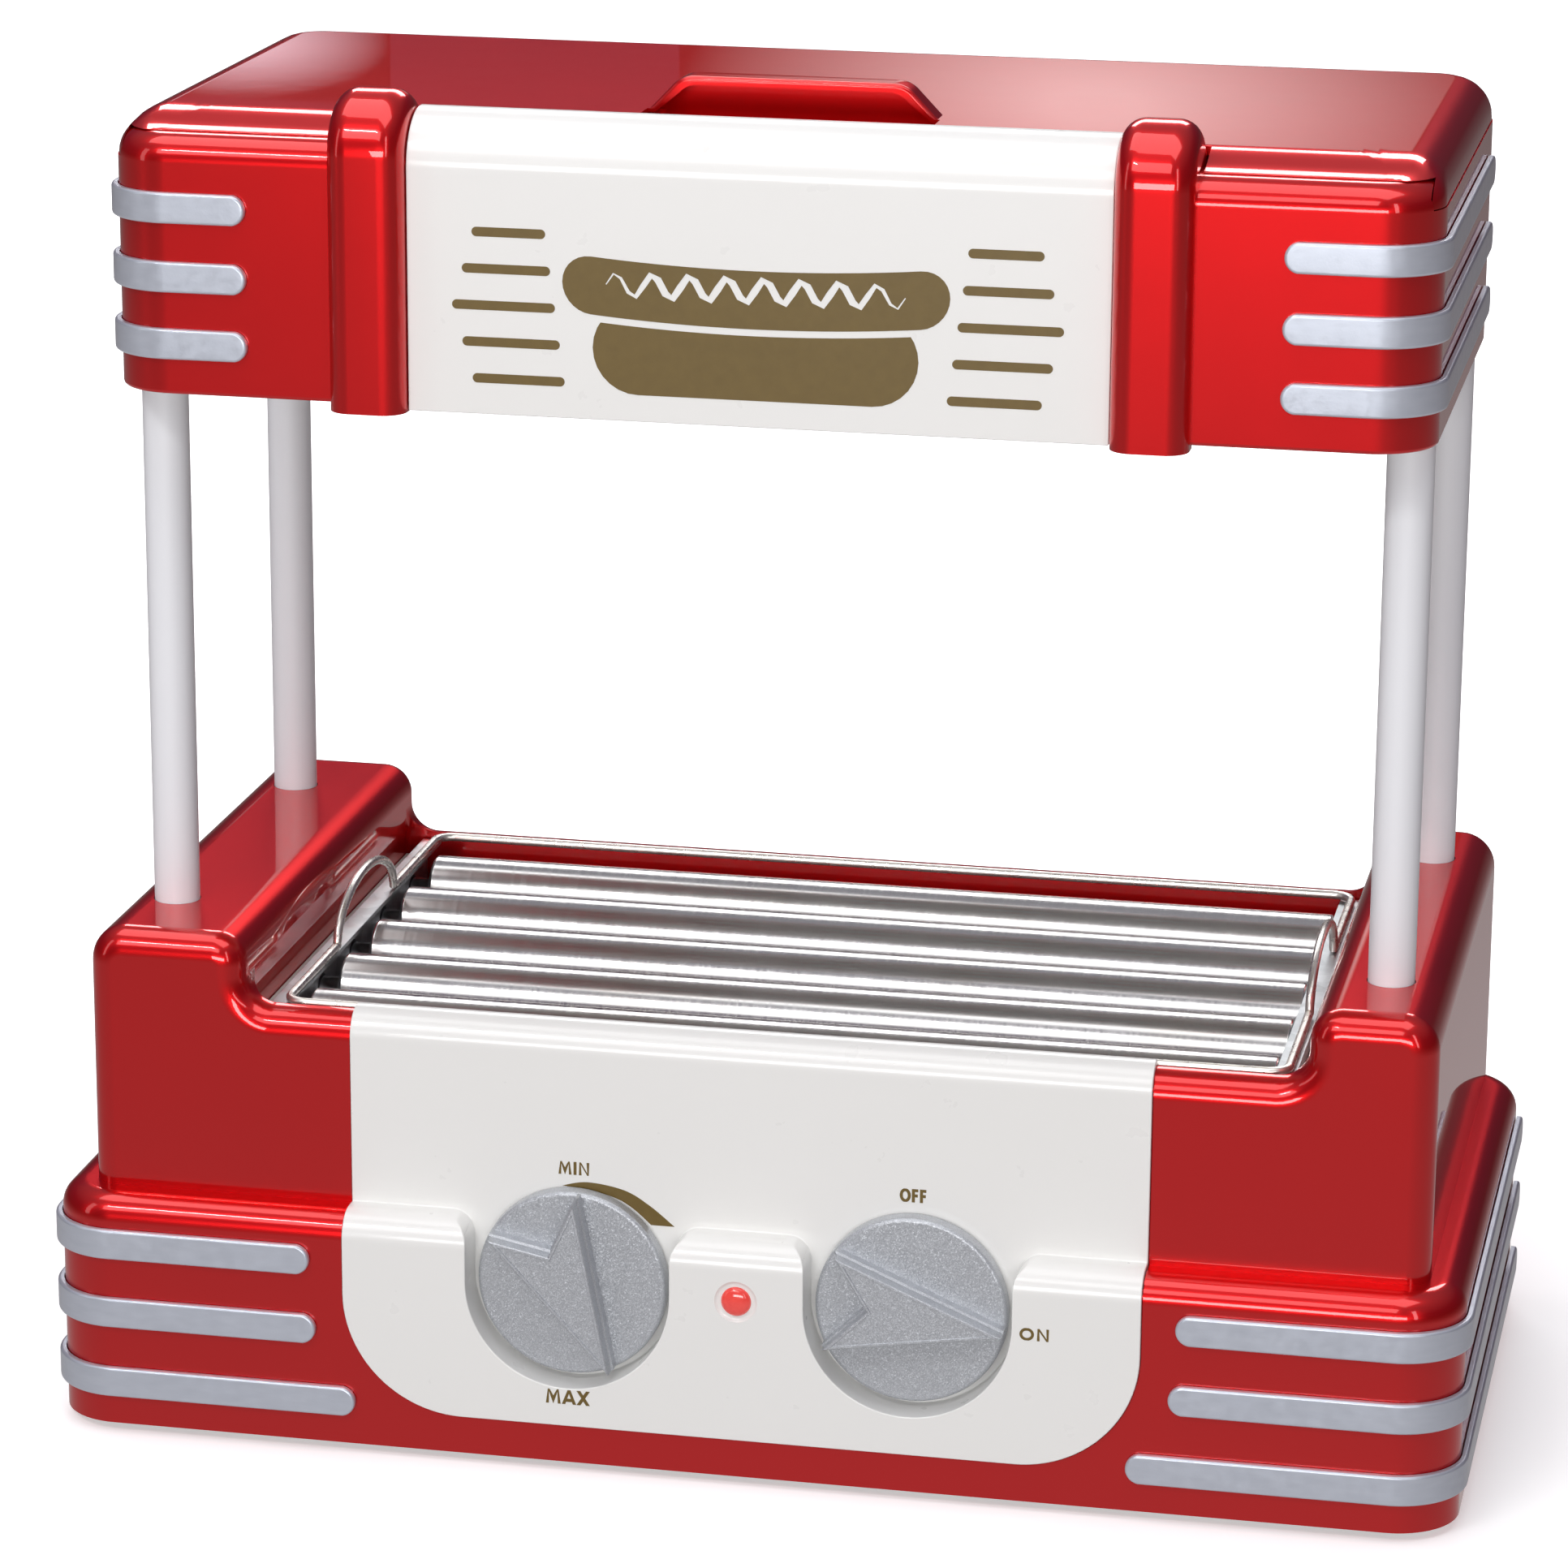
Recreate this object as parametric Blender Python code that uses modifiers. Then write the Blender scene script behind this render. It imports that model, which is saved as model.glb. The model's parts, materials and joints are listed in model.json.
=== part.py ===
"""Countertop hot dog roller grill with a bun-warming canopy.

Metres, +Z up, +X to the right, and the controls face -Y. The origin is on the
supporting surface, under the middle of the object.
"""

import math

import bmesh
import bpy
from mathutils import Matrix, Vector

GAP = 0.0003  # left between pieces that touch
WALL = 0.0026  # moulded wall thickness

# Plinth: the wide lower step of the housing.
FOOT_HEIGHT = 0.003
PLINTH_X = 0.216
PLINTH_Y = 0.109
PLINTH_TOP = 0.0765
PLINTH_CORNER = 0.020
PLINTH_ROUND = 0.008

# Upper body: two towers with the roller bay between them.
UPPER_X = 0.205
UPPER_FRONT = -0.0965
UPPER_BACK = 0.1068
UPPER_BOTTOM = 0.064
TOWER_TOP = 0.158
TOWER_CORNER = 0.011
UPPER_ROUND = 0.008
BAY_LEFT = -0.156
BAY_RIGHT = 0.167
BAY_FRONT = -0.088
BAY_BACK = 0.098
BAY_FLOOR = 0.083
BAY_FILLET = 0.009
RIM_TOP = 0.136
TOWER_INNER_CORNER = 0.0095
BAY_CORNER = 0.006
RIM_SKIN = 0.004  # left above the hollow under the bay's rims
KNOB_WINDOW_X = 0.090
KNOB_WINDOW_BOTTOM = 0.023
TRAY_SLOT_GAP = 0.001

# Feet, base plate and cord gland.
FOOT_X = 0.180
FOOT_Y = 0.080
FOOT_RADIUS = 0.010
FOOT_EDGE = 0.001
PLATE_INSET = 0.0005  # the base plate sits this far up inside the plinth
BASE_SHEET = 0.0012
BASE_VENTS = 7
BASE_VENT_PITCH = 0.02
BASE_VENT_HALF = (0.003, 0.025)
GLAND_X = 0.15
GLAND_Z = 0.04
GLAND_BORE = 0.0035
GLAND_NECK = 0.0070
GLAND_FLANGE = 0.0095
GLAND_INNER_Y = 0.100

# Control panel: an ivory skin over the front of both steps.
PANEL_X = 0.122
PANEL_SHEET = 0.002
PANEL_BOTTOM = 0.015
PANEL_CORNER = 0.037
PANEL_LOWER_Y = -0.110
PANEL_UPPER_Y = -0.0975
PANEL_LEDGE = 0.0775
PANEL_RIM = 0.138
PANEL_RIM_BACK = -0.0875
PANEL_ROUND = 0.0085

# Knobs and pilot light.
KNOB_X = 0.052
KNOB_Z = 0.0587
KNOB_RADIUS = 0.02915
KNOB_FACE_Y = -0.1035
KNOB_BACK_Y = -0.0982
GRIP_FACE_Y = -0.1115
STEM_RADIUS = 0.003
STEM_END_Y = -0.084
POCKET_RADIUS = 0.0315
POCKET_FLARE = 0.007
STEM_HOLE = 0.0045
KNOB_EDGE = 0.001
DART = ((0, 0.0288), (148, 0.0283), (180, 0.012), (212, 0.0283))  # degrees from the tip, radius
HEAT_POINTER = 153.0  # degrees clockwise from 12 o'clock
POWER_POINTER = 97.0
PILOT_Z = 0.0595
PILOT_RADIUS = 0.0045
PILOT_FRONT_Y = -0.1112
PILOT_BACK_Y = -0.098
PILOT_STEM = 0.0032
PILOT_HOLE = 0.0036
DISH_RADIUS = 0.0065
DISH_DEPTH = 0.0008
THERMOSTAT_SIZE = (0.030, 0.024)  # width and depth
SWITCH_SIZE = (0.024, 0.020)

# Trim strips: three round each outer corner of the plinth and of the canopy.
TRIM_PROUD = 0.0022
BASE_TRIMS = {"top": (0.0619, 0.1321), "middle": (0.0397, 0.1304), "bottom": (0.017, 0.1182)}
BASE_TRIM_WIDTH = 0.0095
BASE_TRIM_END_Y = 0.093
CANOPY_TRIMS = {"top": (0.3789, 0.1521), "middle": (0.3584, 0.1521), "bottom": (0.3384, 0.1521)}
CANOPY_TRIM_WIDTH = 0.0092
CANOPY_TRIM_END_Y = 0.072

# Posts between the towers and the canopy.
POST_RADIUS = 0.007
POST_X = 0.1873
POST_Y = {"front": -0.0594, "rear": 0.0697}
POST_BOTTOM = 0.136
POST_TOP = 0.346
SOCKET_RADIUS = 0.010
SOCKET_BOTTOM = 0.131
CAP_RADIUS = 0.0092
CAP_TOP = 0.349

# Canopy.
CANOPY_X = 0.196
CANOPY_FRONT = -0.0882
CANOPY_BACK = 0.0986
CANOPY_BOTTOM = 0.323
CANOPY_TOP = 0.400
CANOPY_CORNER = 0.019
CANOPY_ROUND = 0.008
CANOPY_WALL = 0.003
HATCH_X = 0.160
HATCH_Y = (-0.056, 0.080)
FLOOR_HEIGHT = (0.001, 0.0025)  # above the canopy's lower edge
FLOOR_FRONT = 0.0045  # behind the canopy's front face
FLOOR_CORNER = 0.017
VENT_ROWS, VENT_COLUMNS = 3, 6
VENT_PITCH = 0.05
VENT_HALF = (0.015, 0.003)
REBATE = 0.004
REBATE_Z = 0.392
LID_FRONT = -0.0793
LID_TOP = 0.405
LID_ROUND = 0.012
LID_INNER_ROUND = 0.0045
LID_SHEET = 0.0026
LID_EDGE_Z = 0.4012  # top of the lid's thin front edge
LID_SLOPE_BACK = -0.060  # the roof rises from its front edge to here
LID_HOLLOW_FRONT = -0.066
LID_NOTCH_X = 0.1275
LID_NOTCH_Y = -0.062
SCOOP_X = 0.044
SCOOP_Y = (-0.052, -0.0265)
SCOOP_FLOOR = 0.399
SCOOP_SHEET = 0.0025
GRIP_BASE_X = 0.0447
GRIP_SHOULDER_X = 0.030
GRIP_SHOULDER = 0.0085
GRIP_LOW = 0.4035
GRIP_BACK_Y = -0.023
GRIP_FRONT_Y = -0.036
GRIP_TOP = 0.415
SIGN_X = 0.1035
SIGN_FRONT = -0.089
SIGN_BOTTOM = 0.322
SIGN_TOP = 0.4095
SIGN_ROUND = 0.016
PILLAR_X = 0.1153
PILLAR_WIDTH = 0.023
PILLAR_FRONT = -0.0962
PILLAR_BOTTOM = 0.3215
PILLAR_TOP = 0.415
PILLAR_ROUND = 0.0182
PILLAR_EDGE = 0.007
PILLAR_BACK_ANGLE = 40
HINGE_X = 0.120
HINGE_Y = 0.1025
HINGE_Z = 0.3915
HINGE_KNUCKLE = 0.003
HINGE_PIN = 0.0014
HINGE_PIN_GAP = 0.0002
HINGE_PIN_HALF = 0.014
KNUCKLE_HALF = 0.008
LUG_REACH = (0.0083, 0.0130)  # the lugs' near and far sides from the hinge's middle

# Roller bed and its drive.
ROLLER_COUNT = 5
ROLLER_PITCH = 0.036
ROLLER_MIDDLE_Y = 0.005
ROLLER_Z = 0.122
ROLLER_RADIUS = 0.012
ROLLER_LEFT = -0.142
ROLLER_RIGHT = 0.156
SPINDLE_RADIUS = 0.004
SPINDLE_LEFT = -0.174
SPINDLE_BORE = 0.0016
BEARING_WIDTH = 0.004
PLATE_SHEET = 0.0015
PLATE_TOP = 0.1339
FLANGE = 0.0064
GEAR_MODULE = 0.00125
GEAR_TEETH = 16
PINION_TEETH = 8
GEAR_LEFT = -0.172
GEAR_RIGHT = -0.166
IDLER_PIN = 0.002
PINION_BORE = 0.0018
SPINDLE_HOLE = 0.0052
ROLLER_WALL = 0.001
ROLLER_END = 0.002
MOTOR_SHEET = 0.0035
MOTOR_HALF_Y = 0.022
MOTOR_Z = (-0.030, 0.012)  # the motor plate below and above its shaft
MOTOR_CAN_RADIUS = 0.019
MOTOR_CAN_DROP = 0.009
MOTOR_CAN_END = -0.180

# Wire guard, heating element and drip tray.
WIRE_RADIUS = 0.0014
WIRE_Z = 0.1356
WIRE_X = (-0.1455, 0.1601)
WIRE_Y = (-0.085, 0.095)
WIRE_HANDLE_HALF = 0.033
WIRE_HANDLE_TOP = 0.1525
ELEMENT_RADIUS = 0.00325
ELEMENT_Z = 0.102
ELEMENT_HOLE = 0.0042
ELEMENT_BEND_INSET = 0.02
ELEMENT_END = 0.182
TRAY_X = (-0.140, 0.150)
TRAY_FRONT = -0.080
TRAY_TOP = 0.095
TRAY_SHEET = 0.0014
TRAY_FACE_MARGIN = 0.006
TRAY_FACE_Z = (0.0785, 0.100)
TRAY_FACE_SHEET = 0.0018
TRAY_LIP_X = (-0.035, 0.045)
TRAY_LIP_Z = (0.096, 0.0985)
TRAY_LIP_REACH = 0.004

VIEWS = {
    "plan": (Matrix.Identity(3), Vector((0, 0, 1))),
    "front": (Matrix(((1, 0, 0), (0, 0, -1), (0, 1, 0))), Vector((0, 1, 0))),
    "side": (Matrix(((0, 0, 1), (1, 0, 0), (0, 1, 0))), Vector((1, 0, 0))),
}


# Scene, materials and collections


def clear_scene():
    for old in list(bpy.data.objects):
        bpy.data.objects.remove(old)


def new_collection(name):
    collection = bpy.data.collections.new(name)
    bpy.context.scene.collection.children.link(collection)
    return collection


def new_material(name, colour, roughness, metallic=0.0):
    material = bpy.data.materials.new(name)
    material.use_nodes = True
    shader = material.node_tree.nodes["Principled BSDF"]
    shader.inputs["Base Color"].default_value = (*colour, 1.0)
    shader.inputs["Roughness"].default_value = roughness
    shader.inputs["Metallic"].default_value = metallic
    material.diffuse_color = (*colour, 1.0)
    return material


def finish_part(obj, material, origin=None):
    """Files a finished piece, and moves its origin to its joint's axis."""
    obj.data.materials.clear()
    obj.data.materials.append(material)
    obj.data.shade_smooth()
    obj.data.set_sharp_from_angle(angle=math.radians(35))
    if origin:
        obj.data.transform(Matrix.Translation(-Vector(origin)))
        obj.location = origin
    PARTS.objects.link(obj)
    return obj


# Outlines


def arc(centre, radius, start, end, steps=5):
    """Points along a circle from start to end degrees, both ends included."""
    angles = [math.radians(start + (end - start) * i / steps) for i in range(steps + 1)]
    return [(centre[0] + radius * math.cos(a), centre[1] + radius * math.sin(a)) for a in angles]


def rounded_rectangle(low, high, radius, steps=4):
    left, right = low[0] + radius, high[0] - radius
    bottom, top = low[1] + radius, high[1] - radius
    return (
        arc((right, top), radius, 0, 90, steps)
        + arc((left, top), radius, 90, 180, steps)
        + arc((left, bottom), radius, 180, 270, steps)
        + arc((right, bottom), radius, 270, 360, steps)
    )


def circle(centre, radius, steps=16):
    return arc(centre, radius, 0, 360 - 360 / steps, steps - 1)


# Solids


def new_object(name, mesh):
    return bpy.data.objects.new(name, mesh)


def mesh_from(bm, name):
    bmesh.ops.recalc_face_normals(bm, faces=bm.faces)
    mesh = bpy.data.meshes.new(name)
    bm.to_mesh(mesh)
    bm.free()
    return mesh


def curve_to_solid(name, curve, placing):
    """The closed mesh object that an extruded or bevelled curve makes."""
    guide = bpy.data.objects.new(name + "_curve", curve)
    guide.matrix_world = placing
    bpy.context.scene.collection.objects.link(guide)
    bpy.context.view_layer.update()
    graph = bpy.context.evaluated_depsgraph_get()
    mesh = bpy.data.meshes.new_from_object(guide.evaluated_get(graph))
    mesh.transform(placing)
    bpy.data.objects.remove(guide)
    bm = bmesh.new()
    bm.from_mesh(mesh)
    bmesh.ops.remove_doubles(bm, verts=bm.verts, dist=1e-6)
    bmesh.ops.dissolve_limit(bm, angle_limit=math.radians(0.5), verts=bm.verts, edges=bm.edges)
    return new_object(name, mesh_from(bm, name))


def slab(name, outlines, view, low, high):
    """Flat outlines, inner ones as holes, extruded from low to high across the view."""
    curve = bpy.data.curves.new(name, "CURVE")
    curve.dimensions = "2D"
    curve.fill_mode = "BOTH"
    curve.extrude = (high - low) / 2
    for outline in outlines:
        spline = curve.splines.new("POLY")
        spline.points.add(len(outline) - 1)
        for point, (u, v) in zip(spline.points, outline):
            point.co = (u, v, 0, 1)
        spline.use_cyclic_u = True
    turn, axis = VIEWS[view]
    placing = Matrix.Translation(axis * (low + high) / 2) @ turn.to_4x4()
    return curve_to_solid(name, curve, placing)


def wire(name, points, radius, closed=False, resolution=2):
    """A round bar along points."""
    curve = bpy.data.curves.new(name, "CURVE")
    curve.dimensions = "3D"
    curve.bevel_depth = radius
    curve.bevel_resolution = resolution
    curve.use_fill_caps = True
    spline = curve.splines.new("POLY")
    spline.points.add(len(points) - 1)
    for point, place in zip(spline.points, points):
        point.co = (*place, 1)
    spline.use_cyclic_u = closed
    return curve_to_solid(name, curve, Matrix.Identity(4))


def box(name, low, high):
    bm = bmesh.new()
    bmesh.ops.create_cube(bm, size=1.0)
    low, high = Vector(low), Vector(high)
    bmesh.ops.scale(bm, vec=high - low, verts=bm.verts)
    bmesh.ops.translate(bm, vec=(low + high) / 2, verts=bm.verts)
    return new_object(name, mesh_from(bm, name))


def cylinder(name, axis, centre, low, high, radius, steps=16):
    """A round bar along axis 0, 1 or 2, with its centre given in the other two."""
    view = ("side", "front", "plan")[axis]
    return slab(name, [circle(centre, radius, steps)], view, low, high)


def round_edges(bm, edges, width, steps):
    bmesh.ops.bevel(
        bm, geom=edges, offset=width, offset_type="OFFSET", segments=steps, profile=0.5,
        affect="EDGES", clamp_overlap=False,
    )


def rounded_block(name, low, high, corner, top_round=0.0, corner_steps=4, top_steps=3):
    """A block with round vertical corners and a round top edge."""
    bm = bmesh.new()
    bmesh.ops.create_cube(bm, size=1.0)
    low, high = Vector(low), Vector(high)
    bmesh.ops.scale(bm, vec=high - low, verts=bm.verts)
    bmesh.ops.translate(bm, vec=(low + high) / 2, verts=bm.verts)
    upright = [e for e in bm.edges if abs(e.verts[0].co.z - e.verts[1].co.z) > 1e-6]
    round_edges(bm, upright, corner, corner_steps)
    if top_round:
        top = [e for e in bm.edges if all(v.co.z > high.z - 1e-6 for v in e.verts)]
        round_edges(bm, top, top_round, top_steps)
    return new_object(name, mesh_from(bm, name))


def round_silhouette(obj, axis, width, steps, wanted):
    """Rounds the edges where a slab's flat ends meet its sides, if wanted(side's normal)."""
    bm = bmesh.new()
    bm.from_mesh(obj.data)
    bm.normal_update()
    chosen = []
    for edge in bm.edges:
        ends = [f for f in edge.link_faces if abs(f.normal[axis]) > 0.99]
        sides = [f for f in edge.link_faces if abs(f.normal[axis]) < 0.01]
        if ends and sides and wanted(sides[0].normal):
            chosen.append(edge)
    round_edges(bm, chosen, width, steps)
    bm.normal_update()
    bm.to_mesh(obj.data)
    bm.free()


def turned(name, profile, steps, placing):
    """A profile of (radius, height) points turned about the height axis, then placed."""
    mesh = bpy.data.meshes.new(name)
    neighbours = zip(profile, profile[1:] + profile[:1])
    if sum(a[0] * b[1] - b[0] * a[1] for a, b in neighbours) > 0:
        profile = profile[::-1]  # the outer side has to run downwards
    closed = profile[0][0] > 1e-9
    count = len(profile)
    edges = [(i, i + 1) for i in range(count - 1)] + ([(count - 1, 0)] if closed else [])
    mesh.from_pydata([(r, 0, h) for r, h in profile], edges, [])
    obj = new_object(name, mesh)
    screw = obj.modifiers.new("turn", "SCREW")
    screw.axis = "Z"
    screw.steps = screw.render_steps = steps
    screw.use_merge_vertices = True
    screw.merge_threshold = 1e-5
    obj.matrix_world = placing
    return obj


# Booleans


def as_helper(obj):
    obj.hide_render = True
    obj.display_type = "WIRE"
    CUTTERS.objects.link(obj)


def combine(target, others, operation):
    for other in others:
        modifier = target.modifiers.new(other.name, "BOOLEAN")
        modifier.operation = operation
        modifier.object = other
        as_helper(other)


def cut(target, *others):
    combine(target, others, "DIFFERENCE")


def join(target, *others):
    combine(target, others, "UNION")


def keep(target, *others):
    combine(target, others, "INTERSECT")


# Housing


def roller_ys():
    first = ROLLER_MIDDLE_Y - ROLLER_PITCH * (ROLLER_COUNT - 1) / 2
    return [first + ROLLER_PITCH * i for i in range(ROLLER_COUNT)]


def idler_places():
    """Idler axes (y, z): each meshes with the two roller gears above it."""
    reach = GEAR_MODULE * GEAR_TEETH
    drop = math.sqrt(reach**2 - (ROLLER_PITCH / 2) ** 2)
    return [(y + ROLLER_PITCH / 2, ROLLER_Z - drop) for y in roller_ys()[:-1]]


def pinion_place():
    y, z = idler_places()[1]
    return y, z - GEAR_MODULE * (GEAR_TEETH + PINION_TEETH) / 2


def upper_outline():
    """Front view of the upper body: two round-shouldered towers and the low rim."""
    top, corner, inner, fillet = TOWER_TOP, TOWER_CORNER, TOWER_INNER_CORNER, BAY_FILLET
    return (
        [(-UPPER_X, UPPER_BOTTOM), (UPPER_X, UPPER_BOTTOM)]
        + arc((UPPER_X - corner, top - corner), corner, 0, 90, 4)
        + arc((BAY_RIGHT + inner, top - inner), inner, 90, 180, 4)
        + arc((BAY_RIGHT - fillet, RIM_TOP + fillet), fillet, 0, -90, 4)
        + arc((BAY_LEFT + fillet, RIM_TOP + fillet), fillet, -90, -180, 4)
        + arc((BAY_LEFT - inner, top - inner), inner, 0, 90, 4)
        + arc((-UPPER_X + corner, top - corner), corner, 90, 180, 4)
    )


def panel_outline(grow):
    """Front view of the control panel's edge: square above, a deep U below."""
    half, corner = PANEL_X + grow, PANEL_CORNER + grow
    bottom, top = PANEL_BOTTOM - grow, PLINTH_TOP + 0.1
    return (
        [(half, top), (-half, top)]
        + arc((-half + corner, bottom + corner), corner, 180, 270, 6)
        + arc((half - corner, bottom + corner), corner, 270, 360, 6)
    )


def panel_seat():
    """The space in the housing that the control panel fills, and a gap round it."""
    back_upper = PANEL_UPPER_Y + PANEL_SHEET + GAP
    back_lower = PANEL_LOWER_Y + PANEL_SHEET + GAP
    ledge = PANEL_LEDGE - PANEL_SHEET - GAP
    rim = PANEL_RIM - PANEL_SHEET - GAP
    ledge_round = PANEL_ROUND - PANEL_SHEET - GAP
    rim_round = PANEL_ROUND - PANEL_SHEET - GAP
    outside = PANEL_LOWER_Y - 0.01
    profile = (
        [(outside, PANEL_BOTTOM - 0.01), (back_lower, PANEL_BOTTOM - 0.01)]
        + arc((back_lower + ledge_round, ledge - ledge_round), ledge_round, 180, 90, 3)
        + [(back_upper, ledge)]
        + arc((back_upper + rim_round, rim - rim_round), rim_round, 180, 90, 3)
        + [(BAY_FRONT + 0.003, rim), (BAY_FRONT + 0.003, rim + 0.01), (outside, rim + 0.01)]
    )
    half = PANEL_X + 0.01
    seat = slab("panel_seat", [profile], "side", -half, half)
    limit = slab("panel_seat_edge", [panel_outline(GAP)], "front", -0.2, 0)
    keep(seat, limit)
    return seat


def housing_hollows():
    """The open-bottomed hollows under the moulded skin."""
    low = 0.0
    plinth = rounded_block(
        "plinth_hollow",
        (-PLINTH_X + WALL, -PLINTH_Y + WALL, low),
        (PLINTH_X - WALL, PLINTH_Y - WALL, PLINTH_TOP - WALL),
        PLINTH_CORNER - WALL,
    )
    front, back = UPPER_FRONT + WALL, UPPER_BACK - WALL
    side = UPPER_X - WALL
    under_bay = box("under_bay", (-side, front, low), (side, back, BAY_FLOOR - WALL))
    towers = []
    for name, xs in (("left", (-side, BAY_LEFT - WALL)), ("right", (BAY_RIGHT + WALL, side))):
        corners = (xs[0], front, low), (xs[1], back, TOWER_TOP - WALL)
        towers.append(rounded_block(f"tower_hollow_{name}", *corners, UPPER_ROUND + 0.0005, UPPER_ROUND))
    rim = RIM_TOP - RIM_SKIN
    front_rim = box(
        "front_rim_hollow", (BAY_LEFT, front, low), (BAY_RIGHT, BAY_FRONT - WALL, rim - RIM_SKIN)
    )
    rear_rim = box("rear_rim_hollow", (BAY_LEFT, BAY_BACK + WALL, low), (BAY_RIGHT, back, rim))
    return plinth, under_bay, *towers, front_rim, rear_rim


def base_housing():
    housing = rounded_block(
        "base_housing",
        (-PLINTH_X, -PLINTH_Y, FOOT_HEIGHT),
        (PLINTH_X, PLINTH_Y, PLINTH_TOP),
        PLINTH_CORNER,
        PLINTH_ROUND,
    )
    upper = slab("upper_body", [upper_outline()], "front", UPPER_FRONT, UPPER_BACK)
    round_silhouette(upper, 1, UPPER_ROUND, 3, lambda normal: normal.z > -0.9)
    join(housing, upper)
    cut(housing, *housing_hollows())
    cut(
        housing,
        rounded_block(
            "bay_well", (BAY_LEFT, BAY_FRONT, BAY_FLOOR), (BAY_RIGHT, BAY_BACK, 0.2), BAY_CORNER, 0, 2
        ),
        panel_seat(),
        box(
            "knob_window",
            (-KNOB_WINDOW_X, -0.12, KNOB_WINDOW_BOTTOM),
            (KNOB_WINDOW_X, PANEL_UPPER_Y + PANEL_SHEET + GAP, PLINTH_TOP + 0.002),
        ),
        box(
            "tray_slot",
            (TRAY_X[0] - TRAY_SLOT_GAP, 0.09, BAY_FLOOR),
            (TRAY_X[1] + TRAY_SLOT_GAP, 0.12, TRAY_TOP + TRAY_SLOT_GAP),
        ),
        cylinder("gland_hole", 1, (GLAND_X, GLAND_Z), 0.1, 0.12, GLAND_NECK + GAP),
    )
    for end, y in POST_Y.items():
        for side, x in (("left", -POST_X), ("right", POST_X)):
            boss = cylinder(
                f"boss_{end}_{side}", 2, (x, y), SOCKET_BOTTOM, TOWER_TOP - 0.001, SOCKET_RADIUS
            )
            hole = cylinder(
                f"socket_{end}_{side}", 2, (x, y), POST_BOTTOM - 0.0005, 0.2, POST_RADIUS + GAP
            )
            join(housing, boss)
            cut(housing, hole)
    for i, y in enumerate(roller_ys()):
        cut(housing, cylinder(f"spindle_hole_{i}", 0, (y, ROLLER_Z), -0.17, -0.15, SPINDLE_HOLE))
    for i, place in enumerate(idler_places()):
        ends = GEAR_LEFT - 0.001, BAY_LEFT - 0.001
        join(housing, cylinder(f"idler_pin_{i}", 0, place, *ends, IDLER_PIN, 12))
    for y in element_end_ys():
        cut(housing, cylinder(f"element_hole_{y:.3f}", 0, (y, ELEMENT_Z), 0.16, 0.175, ELEMENT_HOLE))
    finish_part(housing, RED)


def base_plate():
    plate = rounded_block(
        "base_plate",
        (-PLINTH_X + WALL + GAP, -PLINTH_Y + WALL + GAP, FOOT_HEIGHT + PLATE_INSET),
        (PLINTH_X - WALL - GAP, PLINTH_Y - WALL - GAP, FOOT_HEIGHT + PLATE_INSET + BASE_SHEET),
        PLINTH_CORNER - WALL - GAP,
    )
    half_x, half_y = BASE_VENT_HALF
    for i in range(BASE_VENTS):
        x = BASE_VENT_PITCH * (i - (BASE_VENTS - 1) / 2)
        cut(plate, box(f"base_vent_{i}", (x - half_x, -half_y, 0), (x + half_x, half_y, 0.01)))
    finish_part(plate, STEEL)


def feet():
    top = FOOT_HEIGHT + PLATE_INSET - GAP
    profile = [
        (0, top), (FOOT_RADIUS, top), (FOOT_RADIUS, FOOT_EDGE), (FOOT_RADIUS - FOOT_EDGE, 0), (0, 0)
    ]
    for end, y in (("front", -FOOT_Y), ("rear", FOOT_Y)):
        for side, x in (("left", -FOOT_X), ("right", FOOT_X)):
            place = Matrix.Translation((x, y, 0))
            finish_part(turned(f"foot_{end}_{side}", profile, 20, place), RUBBER)


# Controls


def pocket_outline(x, grow):
    """Front view of a knob pocket: round under the knob, flaring at the ledge."""
    radius, flare = POCKET_RADIUS + grow, POCKET_FLARE - grow
    turn_z = PANEL_LEDGE + grow - POCKET_FLARE
    left, right = x - radius, x + radius
    return (
        arc((x, KNOB_Z), radius, 180, 360, 12)
        + arc((right + flare, turn_z), flare, 180, 90, 3)
        + [(right + flare, PANEL_LEDGE + 0.02), (left - flare, PANEL_LEDGE + 0.02)]
        + arc((left - flare, turn_z), flare, 90, 0, 3)
    )


def panel_profile():
    """Side view of the panel's skin, filled behind the lower face."""
    lower, upper, sheet = PANEL_LOWER_Y, PANEL_UPPER_Y, PANEL_SHEET
    rim_centre = (upper + PANEL_ROUND, PANEL_RIM - PANEL_ROUND)
    ledge_centre = (lower + PANEL_ROUND, PANEL_LEDGE - PANEL_ROUND)
    return (
        [(lower, PANEL_BOTTOM - 0.001)]
        + arc(ledge_centre, PANEL_ROUND, 180, 90, 4)
        + [(upper, PANEL_LEDGE)]
        + arc(rim_centre, PANEL_ROUND, 180, 90, 4)
        + [(PANEL_RIM_BACK, PANEL_RIM), (PANEL_RIM_BACK, PANEL_RIM - sheet)]
        + arc(rim_centre, PANEL_ROUND - sheet, 90, 180, 4)
        + [(upper + sheet, PANEL_BOTTOM - 0.001)]
    )


def panel_hollow():
    """The space behind the lower face, with a wall left round each knob pocket."""
    front = PANEL_LOWER_Y + PANEL_SHEET
    ledge = PANEL_LEDGE - PANEL_SHEET
    corner = PANEL_ROUND - PANEL_SHEET
    profile = (
        [(front, 0)]
        + arc((front + corner, ledge - corner), corner, 180, 90, 4)
        + [(-0.09, ledge), (-0.09, 0)]
    )
    hollow = slab("panel_hollow", [profile], "side", -0.13, 0.13)
    for side, x in (("left", -KNOB_X), ("right", KNOB_X)):
        walls = slab(f"pocket_walls_{side}", [pocket_outline(x, PANEL_SHEET)], "front", -0.13, 0)
        cut(hollow, walls)
    return hollow


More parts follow.
